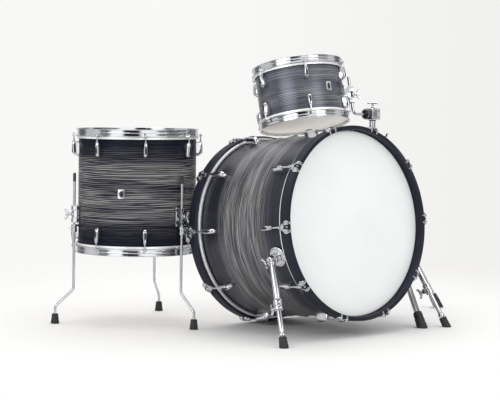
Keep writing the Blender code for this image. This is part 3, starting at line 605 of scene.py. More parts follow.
def endPlace(drum, end):  # the drum's place, or the same place looking out of its other end
    return drum["place"] if end == 1 else drum["place"] @ spun(math.pi, "X")


def endTurn(drum, end):
    return drum["lugTurn"] * end


def pieceName(drum, word):
    first, *rest = drum["name"].split("_")
    return first + "".join(part.title() for part in rest) + word


def makeShell(drum, edge, strength, sheen):
    half, radius = drum["half"], drum["radius"]
    inner = radius - drum["wall"]
    wall = ringSolid(
        [(radius, -half), (radius, half), (inner, half), (inner, -half)], 0.0025, drum["sides"], 2
    )
    wrap = wrapMaterial(pieceName(drum, "Wrap"), half, edge, strength, sheen)
    name = pieceName(drum, "Shell")
    shell = makeMesh(name, [wall], wrap, drum["place"])
    wrapAround(shell, drum)
    keep(shell, drum["body"], "wrap", f"{drum['name']}_shell")


lugShape = (  # share of the length, of the half width and of the height, from the rod's end
    (0.00, 0.60, 0.82), (0.02, 0.70, 0.93), (0.10, 0.78, 0.98), (0.22, 0.86, 1.00), (0.34, 0.94, 1.00),
    (0.46, 1.00, 0.99), (0.62, 1.00, 0.97), (0.76, 0.97, 0.93), (0.86, 0.88, 0.85), (0.93, 0.70, 0.70),
    (0.98, 0.46, 0.50), (1.00, 0.22, 0.30),
)


def lugSolid(drum):  # a teardrop: narrow where the rod enters, wide and round at the other end
    base, length, half = drum["radius"] - 0.002, drum["lugLength"], drum["lugWidth"] / 2
    proud = drum["rodRadius"] + 0.0060 - base
    rings = []
    for along, wide, tall in lugShape:
        ring = []
        for step in range(17):
            angle = math.pi * step / 16
            across = math.copysign(abs(math.cos(angle)) ** 0.62, math.cos(angle))
            rise = math.sin(angle) ** 0.50
            height = drum["lugEnd"] - along * length
            ring.append(Vector((base + proud * tall * rise, half * wide * across, height)))
        rings.append(ring)
    return loft(rings)


def eyeShadeSolid(drum):  # painted shade: a black oval laid on the casting's face, standing in for the shaded hollow of the oval sunk in it
    wide, tall = drum["lugWidth"] * 0.215, drum["lugLength"] * 0.26
    height = drum["lugEnd"] - 0.52 * drum["lugLength"]
    face = drum["rodRadius"] + 0.0055
    outline = [(wide * point.x, tall * point.y) for point in ringOf(1.0, 0.0, 20)]
    return at(slab(outline, -0.006, 0.0009), moved(face, 0, height) @ outOfDrum)


def makeLugs(drum):
    for end in (1, -1):
        word = "Batter" if end == 1 else "Far"
        place, turn, count = endPlace(drum, end), endTurn(drum, end), drum["lugs"]
        ferrule = pin(0.0052, drum["lugEnd"] - 0.004, drum["lugEnd"] + 0.0022, 0.0006, 16)
        ferrule = at(ferrule, moved(drum["rodRadius"]))
        name = pieceName(drum, f"{word}Lug")
        copyRound(f"{name}s", drum["body"], [lugSolid(drum), ferrule], chrome, place, count, turn)
        # the black ovals on the lugs are painted shade for their sunken ovals
        copyRound(f"{name}EyeShades", drum["body"], [eyeShadeSolid(drum)], nylon, place, count, turn, bevel=0.0004)


def makeHead(drum, end, material):
    radius, top = drum["radius"], drum["half"] + gap + filmThickness
    under, low = top - filmThickness, drum["fleshTop"] - drum["fleshHeight"]
    inside = radius + 0.0012
    profile = [
        (radius - 0.012, under), (inside, under), (inside, low + 0.001),
        (inside + filmThickness, low + 0.001), (inside + filmThickness, top), (radius - 0.012, top),
    ]
    film = turned(profile, 0.0045, drum["sides"], 5)
    place = endPlace(drum, end)
    word = "Batter" if end == 1 else "Far"
    makePiece(pieceName(drum, f"{word}Head"), drum["body"], [film], material, place, [drum["heads"][end]])
    inner, outer = inside + filmThickness - 0.0002, radius + drum["fleshWidth"]
    hoop = ringSolid(
        [(inner, low), (outer, low), (outer, drum["fleshTop"]), (inner, drum["fleshTop"])],
        0.0012, drum["sides"], 3,
    )
    makePiece(pieceName(drum, f"{word}FleshHoop"), drum["body"], [hoop], spunAluminium, place)


woodHoop = {
    "width": 0.038, "inside": 0.0039, "thickness": 0.0131, "clawHalf": 0.0220, "clawTail": 0.0066,
    "clawPlate": 0.0042, "lip": 0.0030, "notchHalf": 0.0068, "notchDeep": 0.0125, "barrel": 0.0064,
}


def clawSolids(drum):  # a heart-shaped plate over the hoop, with two hooked lobes and a barrel between them
    inner = drum["radius"] + woodHoop["inside"]
    outer = inner + woodHoop["thickness"]
    low, high = drum["hoopLow"], drum["hoopLow"] + woodHoop["width"]
    lip, notch = high + woodHoop["lip"], woodHoop["notchHalf"]
    wide, tail = woodHoop["clawHalf"], woodHoop["clawTail"]
    side = [
        (tail, low + 0.0015), (tail * 1.25, low + 0.009), (wide * 0.55, low + 0.017),
        (wide * 0.92, low + 0.0245), (wide, high - 0.006), (wide * 0.90, lip - 0.001),
        (wide * 0.66, lip), (notch + 0.002, lip - 0.001), (notch, high - 0.005),
    ]
    outline = side + [(0.0, high - woodHoop["notchDeep"])] + [(-x, z) for x, z in reversed(side)]
    outline = rounded(outline, 0.004, 3)

    def bentOver(radius):
        turns = [(y / radius, z) for y, z in outline]
        return [Vector((radius * math.cos(turn), radius * math.sin(turn), z)) for turn, z in turns]

    solids = [loft([bentOver(outer + height) for height in (-0.0004, woodHoop["clawPlate"])])]
    for sign in (-1, 1):
        lobe = [(notch + 0.0015, 0.0), (wide * 0.86, 0.0), (wide * 0.70, -0.014), (notch + 0.0035, -0.016)]
        lobe = rounded([(x * sign, y) for x, y in lobe], 0.003, 3)
        hook = [Vector((outer + woodHoop["clawPlate"] - 0.001 + y, x, 0)) for x, y in lobe]
        solids.append(loft([[point + up * z for point in hook] for z in (high + gap, lip)]))
        shoulder = [(notch, -0.001), (wide * 0.80, -0.001), (wide * 0.62, 0.0035), (notch, 0.0062)]
        shoulder = rounded(shoulder, 0.002)
        ridge = [Vector((outer + woodHoop["clawPlate"] + y - 0.0005, x * sign, 0)) for x, y in shoulder]
        solids.append(loft([[point + up * z for point in ridge] for z in (high - 0.014, lip - 0.0006)]))
    barrel = woodHoop["barrel"]
    middle = high - woodHoop["notchDeep"] + 0.002
    sleeve = turned([
        (barrel * 0.62, low - 0.001), (barrel * 0.80, low - 0.001), (barrel * 0.86, low + 0.008),
        (barrel, low + 0.014), (barrel, middle), (barrel * 0.6, middle),
    ], 0.0012, 24)
    solids.append(at(sleeve, moved(drum["rodRadius"])))
    return solids


def makeWoodHoop(drum, end, name, material):
    inner = drum["radius"] + woodHoop["inside"]
    outer = inner + woodHoop["thickness"]
    low, high = drum["hoopLow"], drum["hoopLow"] + woodHoop["width"]
    ring = ringSolid([(outer, low), (outer, high), (inner, high), (inner, low)], 0.0028, drum["sides"], 4)
    place, turn, count = endPlace(drum, end), endTurn(drum, end), drum["lugs"]
    hoop = makeMesh(f"{name}Hoop", [ring], material, place)
    wrapAround(hoop, drum)
    keep(hoop, drum["body"], "hoop_wrap", drum["hoops"][end])
    copyRound(f"{name}Claws", drum["body"], clawSolids(drum), chrome, place, count, turn, bevel=0.0009)
    pads = [
        block((inner + 0.003, middle - 0.004, high - 0.0002), (outer, middle + 0.004, high + gap))
        for middle in (-0.013, 0.013)
    ]
    onRod = moved(drum["rodRadius"])
    cup = at(disc(0.0030, 0.0062, high - 0.0120, high - 0.0040, 0.0006, 20), onRod)
    copyRound(f"{name}ClawCups", drum["body"], [cup] + pads, nylon, place, count, turn)
    rods = [
        pin(0.0029, drum["lugEnd"] - 0.003, high - 0.006, 0.0004, 16),
        squareHead(0.0027, high - 0.0085, high + 0.0010),
        pin(0.0046, high - 0.0100, high - 0.0062, 0.0006, 20),
    ]
    rods = [at(solid, onRod) for solid in rods]
    copyRound(f"{name}Rods", drum["body"], rods, chrome, place, count, turn, bevel=0.0004)


steelHoop = {
    "metal": 0.0023, "above": 0.0095, "inside": 0.003, "flange": 0.0115, "lip": 0.0097,
    "earHalf": 0.0096, "headHeight": 0.0070,
}


def makeSteelHoop(drum, end, name):
    metal, radius = steelHoop["metal"], drum["radius"]
    inner, flange, lip = (radius + steelHoop[key] for key in ("inside", "flange", "lip"))
    wall = inner + metal
    low, high = drum["hoopLow"], drum["half"] + steelHoop["above"]
    middle = low + 0.52 * (high - low)
    profile = [
        (inner, low), (flange, low), (flange, low + metal), (wall, low + metal),
        (wall, middle - 0.0016), (wall + 0.0008, middle), (wall, middle + 0.0016),
        (wall, high - metal), (lip, high - metal), (lip, high), (inner, high),
    ]
    place, turn, count = endPlace(drum, end), endTurn(drum, end), drum["lugs"]
    ring = ringSolid(profile, 0.0009, drum["sides"], 3)
    makePiece(f"{name}Hoop", drum["body"], [ring], chrome, place, [drum["hoops"][end]])
    earTop = low + metal + 0.001
    rodRadius, half = drum["rodRadius"], steelHoop["earHalf"]
    ear = rounded([
        (flange - 0.003, -half), (rodRadius, -half * 0.62), (rodRadius + 0.0062, -half * 0.42),
        (rodRadius + 0.0062, half * 0.42), (rodRadius, half * 0.62), (flange - 0.003, half),
    ], 0.0028)
    collar = [(0.0030, 0.0012), (0.0050, 0.0012), (0.0044, 0.0036), (0.0025, 0.0036)]
    rods = [
        pin(0.0058, earTop, earTop + 0.0012, 0.0003, 24),
        turned([(radius, earTop + height) for radius, height in collar], 0.0005, 20),
        squareHead(0.0025, earTop + 0.003, earTop + steelHoop["headHeight"]),
        pin(0.0026, drum["lugEnd"] - 0.003, earTop + 0.001, 0.0004, 16),
    ]
    rods = [slab(ear, low + 0.0002, earTop)] + [at(solid, moved(rodRadius)) for solid in rods]
    copyRound(f"{name}Rods", drum["body"], rods, chrome, place, count, turn, bevel=0.0003)


def makeBadge(drum):  # a plain plate with a plain oval in it
    wide, tall = drum["badgeSize"]
    plate = slab(rounded(oblong(wide / 2, -tall / 2, tall / 2), 0.0035, 4), -0.0010, 0.0010)
    oval = [(wide * 0.30 * point.x, tall * 0.34 * point.y) for point in ringOf(1.0, 0.0, 40)]
    place = drum["place"] @ spun(drum["badgeTurn"]) @ moved(drum["radius"] + 0.0004, 0, drum["badgeHeight"])
    place = place @ outOfDrum
    name = pieceName(drum, "Badge")
    makePiece(name, drum["body"], [plate], badgeMetal, place, bevel=0.0004)
    makePiece(f"{name}Oval", drum["body"], [slab(oval, 0.0006, 0.0013)], nylon, place, bevel=0.0002)
    rivets = [at(pin(0.0011, 0.0005, 0.0016, 0.0004, 16), moved(0, sign * tall * 0.43)) for sign in (-1, 1)]
    makePiece(f"{name}Rivets", drum["body"], rivets, chrome, place)


def makeDrums():
    bassAxis = Vector(mounts["pedal_clamp_face"]["axis"])
    measureDrum(bassDrum, bassAxis, east, "front_head", "front_hoop")
    measureDrum(floorTom, up, east, "resonant_head", "resonant_hoop")
    floorTom["place"] = floorTom["place"] @ spun(math.radians(14.0))
    measureDrum(rackTom, jointAlong("tom_turn"), east, "resonant_head", "resonant_hoop")
    hoopWrap = hoopMaterial("hoopWrap")
    makeShell(bassDrum, 0.50, 0.88, 0.25)
    makeLugs(bassDrum)
    for end, name in ((1, "bassBatter"), (-1, "bassFront")):
        makeHead(bassDrum, end, coatedHead)
        makeWoodHoop(bassDrum, end, name, hoopWrap)
    for drum, edge, strength, sheen in ((floorTom, 0.58, 0.78, 0.01), (rackTom, 0.76, 0.50, 0.55)):
        makeShell(drum, edge, strength, sheen)
        makeLugs(drum)
        makeBadge(drum)
        for end, word in ((1, "Batter"), (-1, "Far")):
            makeHead(drum, end, coatedHead if end == 1 else hazyHead)
            makeSteelHoop(drum, end, pieceName(drum, word))
    print("drums made")


# Shared hardware

wing = {"half": 0.019, "thickness": 0.0058, "stem": 0.012, "stemRadius": 0.0034, "hub": 0.0066}


def makeWingBolt(name, joint, towards, node):
    stem, half, hub = wing["stem"], wing["half"], wing["hub"]
    right = [
        (0.0, stem - 0.0042), (hub, stem - 0.0040), (half * 0.62, stem - 0.0005),
        (half * 0.92, stem + 0.0030),
        (half, stem + 0.0070), (half * 0.94, stem + 0.0108), (half * 0.74, stem + 0.0118),
        (half * 0.50, stem + 0.0088), (hub * 0.8, stem + 0.0062), (0.0, stem + 0.0058),
    ]
    outline = right + [(-x, z) for x, z in reversed(right[1:-1])]
    plate = at(slab(rounded(outline, 0.003, 3), -wing["thickness"] / 2, wing["thickness"] / 2), lying)
    hubSolid = turned([
        (hub * 0.5, gap * 4), (hub * 0.78, gap * 4), (hub * 0.78, 0.0035), (hub * 0.60, 0.0050),
        (hub * 0.72, stem - 0.002), (hub * 0.72, stem + 0.0060), (hub * 0.4, stem + 0.0066),
    ], 0.0008, 28)
    screw = pin(wing["stemRadius"] * 0.7, gap, stem, 0.0003, 20)
    place = axesAt(jointAt(joint), jointAlong(joint), towards)
    body = joints[joint]["child"]
    makePiece(name, body, [plate, hubSolid, screw], chrome, place, [node], bevel=0.0013, segments=3)


def makeFoot(name, body, top, topRadius, ground, baseRadius, node):  # a ribbed rubber foot, flat on the floor
    sides = 40
    upper = [top @ point for point in ringOf(1.0, 0.0, sides)]
    middle = top @ Vector((0, 0, 0))
    levels = [  # share of the way down and of the radius there
        (0.0, 0.80), (0.03, 0.98), (0.10, 1.0), (0.26, 1.0), (0.29, 0.93), (0.33, 0.93), (0.36, 1.0),
        (0.56, 1.0), (0.59, 0.94), (0.63, 0.94), (0.66, 1.0), (0.93, 1.0), (1.0, 0.93),
    ]
    rings = []
    for down, share in levels:
        radius = (topRadius + (baseRadius - topRadius) * down) * share
        ring = []
        for point in upper:
            leaning = (point - middle).normalized()
            flat = Vector((leaning.x, leaning.y, 0)).normalized()
            outward = (leaning * (1 - down) + flat * down).normalized()
            ring.append(middle.lerp(ground, down) + outward * radius)
        rings.append(ring)
    rings[-1] = [Vector((point.x, point.y, ground.z)) for point in rings[-1]]
    makePiece(name, body, [loft(rings)], rubber, Matrix(), [node])


def screwHead(radius, height):
    shares = [(0.5, 0), (1, 0), (1, 0.6), (0.7, 1), (0.4, 1)]
    return turned([(radius * wide, height * tall) for wide, tall in shares], radius * 0.2, 20)


# Spurs

spur = {
    "disc": 0.034, "discHeight": 0.010, "boss": 0.016, "bossHeight": 0.017, "knuckle": 0.028,
    "tube": 0.0105, "tubeLength": 0.165, "leg": 0.008, "clamp": 0.0145, "clampLength": 0.028,
    "blockHalf": 0.009, "blockReach": 0.022, "blockHeight": 0.020,
    "footTop": 0.0125, "footBase": 0.0155, "footHeight": 0.036,
}


def makeSpur(side):
    name = f"spur{side.title()}"
    fold, extend = f"spur_{side}_fold", f"spur_{side}_extend"
    screwJoint = f"spur_{side}_hinge_screw_turn"
    outward = (jointAt(screwJoint) - jointAt(fold)).normalized()
    down = jointAlong(extend)
    hinge = axesAt(jointAt(fold), outward, down)
    wide, height, boss = spur["disc"], spur["discHeight"], spur["boss"]
    body = f"spur_{side}"

    plate = turned([
        (wide * 0.4, 0.0016), (wide - 0.0006, 0.0016), (wide, 0.0042), (wide - 0.003, 0.0066),
        (wide * 0.80, 0.0070), (wide * 0.76, height), (wide * 0.52, height), (boss, height + 0.001),
        (boss, spur["bossHeight"]), (boss * 0.5, spur["bossHeight"]),
    ], 0.0012, 72)
    makePiece(f"{name}Bracket", "kit", [plate], chrome, hinge, [f"spur_{side}_bracket"])
    gasket = disc(wide * 0.4, wide, gap, 0.0018, 0.0004, 72)
    makePiece(f"{name}Gasket", "kit", [gasket], rubber, hinge)
    head = at(screwHead(0.0022, 0.0016), moved(wide * 0.90, 0, 0.0064))
    copyRound(f"{name}BracketScrews", "kit", [head], chrome, hinge, 6)
    tooth = block((boss - 0.0052, -0.0006, 0), (boss - 0.0006, 0.0006, 0.0011))
    onBoss = hinge @ moved(0, 0, spur["bossHeight"] - 0.0007)
    copyRound(f"{name}Teeth", "kit", [tooth], darkChrome, onBoss, 36)

    knuckleLow = spur["bossHeight"] + gap
    slide = hinge @ moved(0, 0, knuckleLow + spur["knuckle"] / 2)
    slide = axesAt(slide.translation, -down, outward)
    toSlide = slide.inverted() @ hinge
    high = knuckleLow + spur["knuckle"]
    knuckle = turned([
        (boss * 0.5, knuckleLow + 0.0006), (boss, knuckleLow + 0.0006), (boss, knuckleLow + 0.007),
        (boss - 0.0018, knuckleLow + 0.0085), (boss - 0.0018, high - 0.0065), (boss * 0.9, high - 0.003),
        (boss * 0.62, high), (boss * 0.3, high),
    ], 0.0012, 48)
    end, tube = -spur["tubeLength"], spur["tube"]
    barrel = turned([
        (tube * 0.6, end + 0.001), (tube, end + 0.001), (tube, -0.018), (tube * 1.18, -0.015),
        (tube * 1.18, -0.009), (tube, -0.005), (tube * 0.92, 0.004), (tube * 0.4, 0.006),
    ], 0.002, 40)
    clamp = spur["clamp"]
    collar = turned([
        (spur["leg"] + 0.0006, end - 0.006), (clamp, end - 0.006), (clamp, end + 0.004),
        (clamp - 0.001, end + 0.0055),
        (clamp - 0.001, end + 0.0155), (clamp, end + 0.017), (clamp, end + spur["clampLength"]),
        (tube, end + spur["clampLength"] + 0.003),
    ], 0.0012, 40)
    tubeSolids = [at(knuckle, toSlide), barrel, collar]
    makePiece(f"{name}Tube", body, tubeSolids, chrome, slide, [f"spur_{side}_tube"])
    legScrew = f"spur_{side}_leg_screw_turn"
    across = jointAlong(legScrew)
    jaw = axesAt(slide @ Vector((0, 0, end)), slide.to_3x3() @ up, across)
    half, reach, tall = spur["blockHalf"], spur["blockReach"], spur["blockHeight"]
    halves = [
        block((clamp * 0.5, near, 0.001), (reach - gap, far, tall - 0.001))
        for near, far in ((-half, -0.0009), (0.0009, half))
    ]
    makePiece(f"{name}Jaws", body, halves, chrome, jaw, bevel=0.0022, segments=3)
    # painted shade: a black block fills the gap between the jaw halves, where there is only shaded space
    slitShade = block((clamp * 0.5, -0.0010, 0.002), (reach - 0.002, 0.0010, tall - 0.002))
    makePiece(f"{name}SlitShade", body, [slitShade], nylon, jaw)
    bolt = pin(0.0042, -half - 0.0010, half + 0.0010, 0.0006, 20)
    bolt = at(bolt, moved(clamp + 0.003, 0, tall / 2) @ lying)
    makePiece(f"{name}JawBolt", body, [bolt], darkChrome, jaw)

    hub = slide.translation
    ground = hub + down * (hub.z / -down.z)
    length = (ground - hub).length
    top = slide @ moved(0, 0, -(length - spur["footHeight"]))
    leg = spur["leg"]
    bottom = -(length - spur["footHeight"] * 0.8)
    shaft = turned([
        (leg * 0.6, bottom), (leg, bottom), (leg, end - 0.03), (leg, end + 0.05), (leg * 0.6, end + 0.05),
    ], 0.0006, 36)
    ferrule = turned([
        (leg, bottom + 0.010), (leg * 1.30, bottom + 0.0085), (leg * 1.42, bottom + 0.0125),
        (leg * 1.42, bottom + 0.0175), (leg * 1.16, bottom + 0.0205), (leg, bottom + 0.024),
    ], 0.0012, 36)
    makePiece(f"{name}Leg", f"{body}_inner", [shaft, ferrule], chrome, slide, [f"{body}_leg"])
    makeFoot(f"{name}Foot", f"{body}_inner", top, spur["footTop"], ground, spur["footBase"], f"{body}_foot")
    makeWingBolt(f"{name}HingeWing", screwJoint, down, f"spur_{side}_hinge_wing")
    makeWingBolt(f"{name}LegWing", legScrew, -down, f"spur_{side}_leg_wing")


# Floor tom legs

floorLeg = {
    "radius": 0.00475, "reach": 0.011, "bend": 0.116, "lowerBend": 0.058, "fillet": 0.020,
    "plate": 0.006, "plateHalf": 0.015, "lock": 0.0105, "lockHeight": 0.026, "knurl": 0.030,
    "footTop": 0.0105, "footBase": 0.0148, "footHeight": 0.034,
}


def makeFloorLeg(number):
    name = f"floorLeg{number}"
    joint = f"floor_leg_{number}_screw_turn"
    outward = jointAlong(joint)
    line = jointAt(joint) - outward * floorLeg["reach"]
    place = axesAt(Vector((line.x, line.y, 0)), up, outward)
    body = f"floor_leg_{number}_slider"
    node = f"floor_leg_{number}"
    radius, height = floorLeg["radius"], floorLeg["footHeight"]
    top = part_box(node)[1].z
    foot = boxMiddle(f"{node}_foot")
    spread = (Vector((foot.x, foot.y, 0)) - place.translation).length
    path = [
        (0, 0, top - 0.0005), (0, 0, floorLeg["bend"]), (spread, 0, floorLeg["lowerBend"]),
        (spread, 0, height * 0.5),
    ]
    path = [place @ Vector(point) for point in path]
    rodAlong(name, body, path, radius, floorLeg["fillet"], chrome, node)
    low, high = (corner.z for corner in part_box(f"{node}_bracket"))
    knurl = floorLeg["knurl"]
    sleeve = turned([
        (radius * 0.4, top - knurl), (radius + 0.0002, top - knurl), (radius + 0.0002, top - 0.0012),
        (radius * 0.5, top),
    ], 0.0008, 32)
    makePiece(f"{name}KnurlCore", body, [sleeve], darkChrome, place)
    tooth = loft([
        [Vector((radius + r, y, z)) for y, z in ((-0.0008, 0), (0, -0.0010), (0.0008, 0), (0, 0.0010))]
        for r in (0.0, 0.0005)
    ])
    rows, teeth = 13, 16
    rows = (rows, (knurl - 0.004) / rows, math.pi / teeth)
    onKnurl = place @ moved(0, 0, top - knurl + 0.002)
    copyRound(f"{name}Knurl", body, [tooth], darkChrome, onKnurl, teeth, 0.0, rows)
    lock, lockTop = floorLeg["lock"], low - gap
    lockLow = lockTop - floorLeg["lockHeight"]
    collar = turned([
        (radius, lockLow), (lock * 0.88, lockLow), (lock, lockLow + 0.003), (lock, lockLow + 0.008),
        (lock * 0.86, lockLow + 0.0095), (lock * 0.86, lockTop - 0.0095), (lock, lockTop - 0.008),
        (lock, lockTop - 0.002), (lock * 0.9, lockTop), (radius, lockTop),
    ], 0.0010, 36)
    onLock = moved(0, 0, (lockLow + lockTop) / 2) @ outOfPlate
    key = at(pin(0.0034, 0, lock + 0.0035, 0.0006, 20), onLock)
    keyHead = at(squareHead(0.0026, lock + 0.003, lock + 0.0085), onLock)
    makePiece(f"{name}Lock", body, [collar, key, keyHead], chrome, place)
    topPlace = place @ moved(spread, 0, height)
    ground = place @ Vector((spread, 0, 0))
    makeFoot(f"{name}Foot", body, topPlace, floorLeg["footTop"], ground, floorLeg["footBase"], f"{node}_foot")

    half, reach = floorLeg["plateHalf"], floorLeg["reach"]
    fromAxis = (place.translation - floorTom["place"].translation.xy.to_3d()).length
    shellFace = floorTom["radius"] + gap - fromAxis
    face = shellFace + floorLeg["plate"]
    outline = rounded(oblong(half, low + 0.001, high - 0.001), 0.006, 5)
    plate = plateAcrossX(outline, shellFace + 0.0015, face - 0.0015)
    middle = (low + high) / 2
    side = reach - 0.0008
    jaws = [
        block((face - 0.003, -side, middle + under), (reach - 0.0015, side, middle + over))
        for under, over in ((-0.029, -0.013), (0.013, 0.029))
    ]
    spine = block((face - 0.003, -reach * 0.72, middle - 0.024), (reach * 0.55, reach * 0.72, middle + 0.024))
    capTop = reach * 0.52 - gap
    cap = turned([
        (0.003, 0), (0.0092, 0), (0.0092, reach * 0.42), (0.0078, capTop), (0.003, capTop),
    ], 0.001, 32)
    cap = at(cap, moved(reach * 0.48, 0, middle) @ outOfPlate)
    solids = [plate, spine] + jaws
    makePiece(f"{name}Bracket", "kit", solids, chrome, place, [f"{node}_bracket"], bevel=0.0014)
    makePiece(f"{name}BracketCap", "kit", [cap], chrome, place)
    gasket = plateAcrossX([(y * 1.03, z) for y, z in outline], shellFace, shellFace + 0.0018)
    makePiece(f"{name}Gasket", "kit", [gasket], rubber, place)
    pads = [
        block((face - 0.002, -reach - 0.0015, z - 0.0055), (face + 0.004, reach + 0.0015, z + 0.0055))
        for z in (middle - 0.021, middle + 0.021)
    ]
    makePiece(f"{name}Pads", "kit", pads, nylon, place, bevel=0.0008)
    makeWingBolt(f"{name}Wing", joint, up, f"{node}_wing")


# Tripod stand

stand = {
    "tube": 0.0143, "collar": 0.021, "collarHeight": 0.030, "clamp": 0.021, "clampHeight": 0.034,
    "clampReach": 0.036, "upper": 0.0111, "lock": 0.017, "lockHeight": 0.016, "hingeRadius": 0.030,
    "stripHalf": 0.007, "strip": 0.004, "tongue": 0.008, "strut": 0.006, "strutHalf": 0.006,
    "ear": 0.003, "pin": 0.003, "bootLength": 0.060, "bootTop": 0.015, "bootBase": 0.019, "running": 0.0004,
}


def makeStand():
    post = jointAt("holder_swivel")
    base = Matrix.Translation((post.x, post.y, 0))
    low, high = (corner.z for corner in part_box("stand_base_tube"))
    tube, clamp = stand["tube"], stand["clamp"]
    shaft = turned([
        (tube * 0.6, low), (tube, low), (tube, low + 0.004), (tube, high - stand["clampHeight"]),
        (tube * 0.6, high - 0.002),
    ], 0.001)
    clampLow = high - stand["clampHeight"]
    ring = turned([
        (tube, clampLow), (clamp - 0.001, clampLow), (clamp, clampLow + 0.003), (clamp, clampLow + 0.009),
        (clamp - 0.0014, clampLow + 0.011), (clamp - 0.0014, high - 0.011), (clamp, high - 0.009),
        (clamp, high - 0.002), (clamp - 0.002, high), (stand["upper"] + 0.001, high),
    ], 0.0012)
    makePiece("standBaseTube", "kit", [shaft, ring], chrome, base, ["stand_base_tube"])
    bush = disc(stand["upper"] + 0.0004, clamp - 0.005, high - 0.004, high + 0.0002, 0.0003)
    makePiece("standBush", "kit", [bush], nylon, base)
    cap = turned([
        (tube * 0.4, low - 0.0005), (tube + 0.0012, low - 0.0005), (tube + 0.0012, low + 0.012),
        (tube * 0.8, low + 0.013),
    ], 0.002)
    makePiece("standTubeCap", "kit", [cap], rubber, base)
    along = jointAlong("stand_height_screw_turn")
    jaw = axesAt(Vector((post.x, post.y, clampLow)), up, along)
    reach, tall = stand["clampReach"] - gap, stand["clampHeight"]
    jaws = [
        block((tube * 0.9, near, 0.003), (reach, far, tall - 0.003))
        for near, far in ((-0.012, -0.0011), (0.0011, 0.012))
    ]
    makePiece("standClampJaws", "kit", jaws, chrome, jaw, bevel=0.0026, segments=3)
    # painted shade: a black block fills the gap between the jaw halves, where there is only shaded space
    slitShade = block((tube, -0.0012, 0.005), (reach - 0.002, 0.0012, tall - 0.005))
    makePiece("standClampSlitShade", "kit", [slitShade], nylon, jaw)
    makeWingBolt("standHeightWing", "stand_height_screw_turn", up, "stand_height_wing")

    (upperLow, upperTop), lock = (corner.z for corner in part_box("stand_upper_tube")), stand["lock"]
    upper = turned([
        (stand["upper"] * 0.6, upperLow), (stand["upper"], upperLow), (stand["upper"], upperTop),
        (stand["upper"] * 0.6, upperTop),
    ], 0.0006)
    lockRing = turned([
        (stand["upper"], high + gap), (lock * 0.94, high + gap), (lock, high + 0.003), (lock, high + 0.0125),
        (lock * 0.9, high + stand["lockHeight"]), (stand["upper"], high + stand["lockHeight"]),
    ], 0.001)
    makePiece("standUpperTube", "stand_mast", [upper, lockRing], chrome, base, ["stand_upper_tube"])
    key = [pin(0.0036, lock * 0.8, lock + 0.0035, 0.0006, 20), squareHead(0.0026, lock, lock + 0.0085)]
    keyPlace = Matrix.Translation((post.x, post.y, high + 0.008)) @ axesAt((0, 0, 0), (-0.6, -0.8, 0), up)
    makePiece("standLockKey", "stand_mast", key, chrome, keyPlace, bevel=0.0005)

    makeCollars(post, base)
    for number in (1, 2, 3):
        makeStandLeg(number, post)


def collarRing(middle):
    tube, collar, half = stand["tube"], stand["collar"], stand["collarHeight"] / 2
    return ringSolid([
        (tube + 0.0004, middle - half), (collar - 0.002, middle - half), (collar, middle - half + 0.003),
        (collar, middle - 0.006), (collar - 0.0014, middle - 0.004), (collar - 0.0014, middle + 0.004),
        (collar, middle + 0.006), (collar, middle + half - 0.003), (collar - 0.002, middle + half),
        (tube + 0.0004, middle + half),
    ], 0.0012)


def legAngle(number, post):
    hinge = jointAt(f"stand_leg_{number}_fold")
    return math.atan2(hinge.y - post.y, hinge.x - post.x)


def makeCollars(post, base):
    top = jointAt("stand_leg_1_fold").z
    middle = 2 * jointAt("stand_strut_1_fold").z - top
    hinge, collar = stand["hingeRadius"], stand["collar"]
    thick, inner = stand["tongue"] / 2, stand["strut"] / 2 + stand["running"]

    def lug(root, end, reach, height):  # a tapering outline from the collar out past the hinge
        corners = [(collar - 0.003, -root), (reach, -end), (reach, end), (collar - 0.003, root)]
        return [(x, z + height) for x, z in rounded(corners, 0.005, 5)]

    tongue = plateAcrossY(lug(0.011, 0.009, hinge + 0.0072, top), -thick, thick)
    ear = lug(0.009, 0.008, hinge + stand["strutHalf"], middle)
    tongues, ears = [], []
    for number in (1, 2, 3):
        turn = spun(legAngle(number, post))
        tongues.append(at(tongue, turn))
        for sign in (-1, 1):
            ears.append(at(plateAcrossY(ear, sign * inner, sign * (inner + stand["ear"])), turn))
    screw = jointAlong("stand_collar_screw_turn")
    face = (jointAt("stand_collar_screw_turn") - Vector((post.x, post.y, top))).length
    onScrew = axesAt((0, 0, 0), screw, up)
    boss = at(pin(0.0088, collar - 0.004, face - gap, 0.001, 32), moved(0, 0, top) @ onScrew)
    upper = [collarRing(top), boss] + tongues
    makePiece("standUpperCollar", "stand_collar", upper, chrome, base, ["stand_upper_collar"], bevel=0.0007)
    lower = [collarRing(middle)] + ears
    makePiece("standLowerCollar", "kit", lower, chrome, base, ["stand_lower_collar"], bevel=0.0005)
    rivet = at(pin(0.0024, collar - 0.001, collar + 0.0014, 0.0006, 20), moved(0, 0, middle) @ onScrew)
    makePiece("standLowerCollarScrew", "kit", [rivet], darkChrome, base)
    makeWingBolt("standCollarWing", "stand_collar_screw_turn", up, "stand_collar_wing")


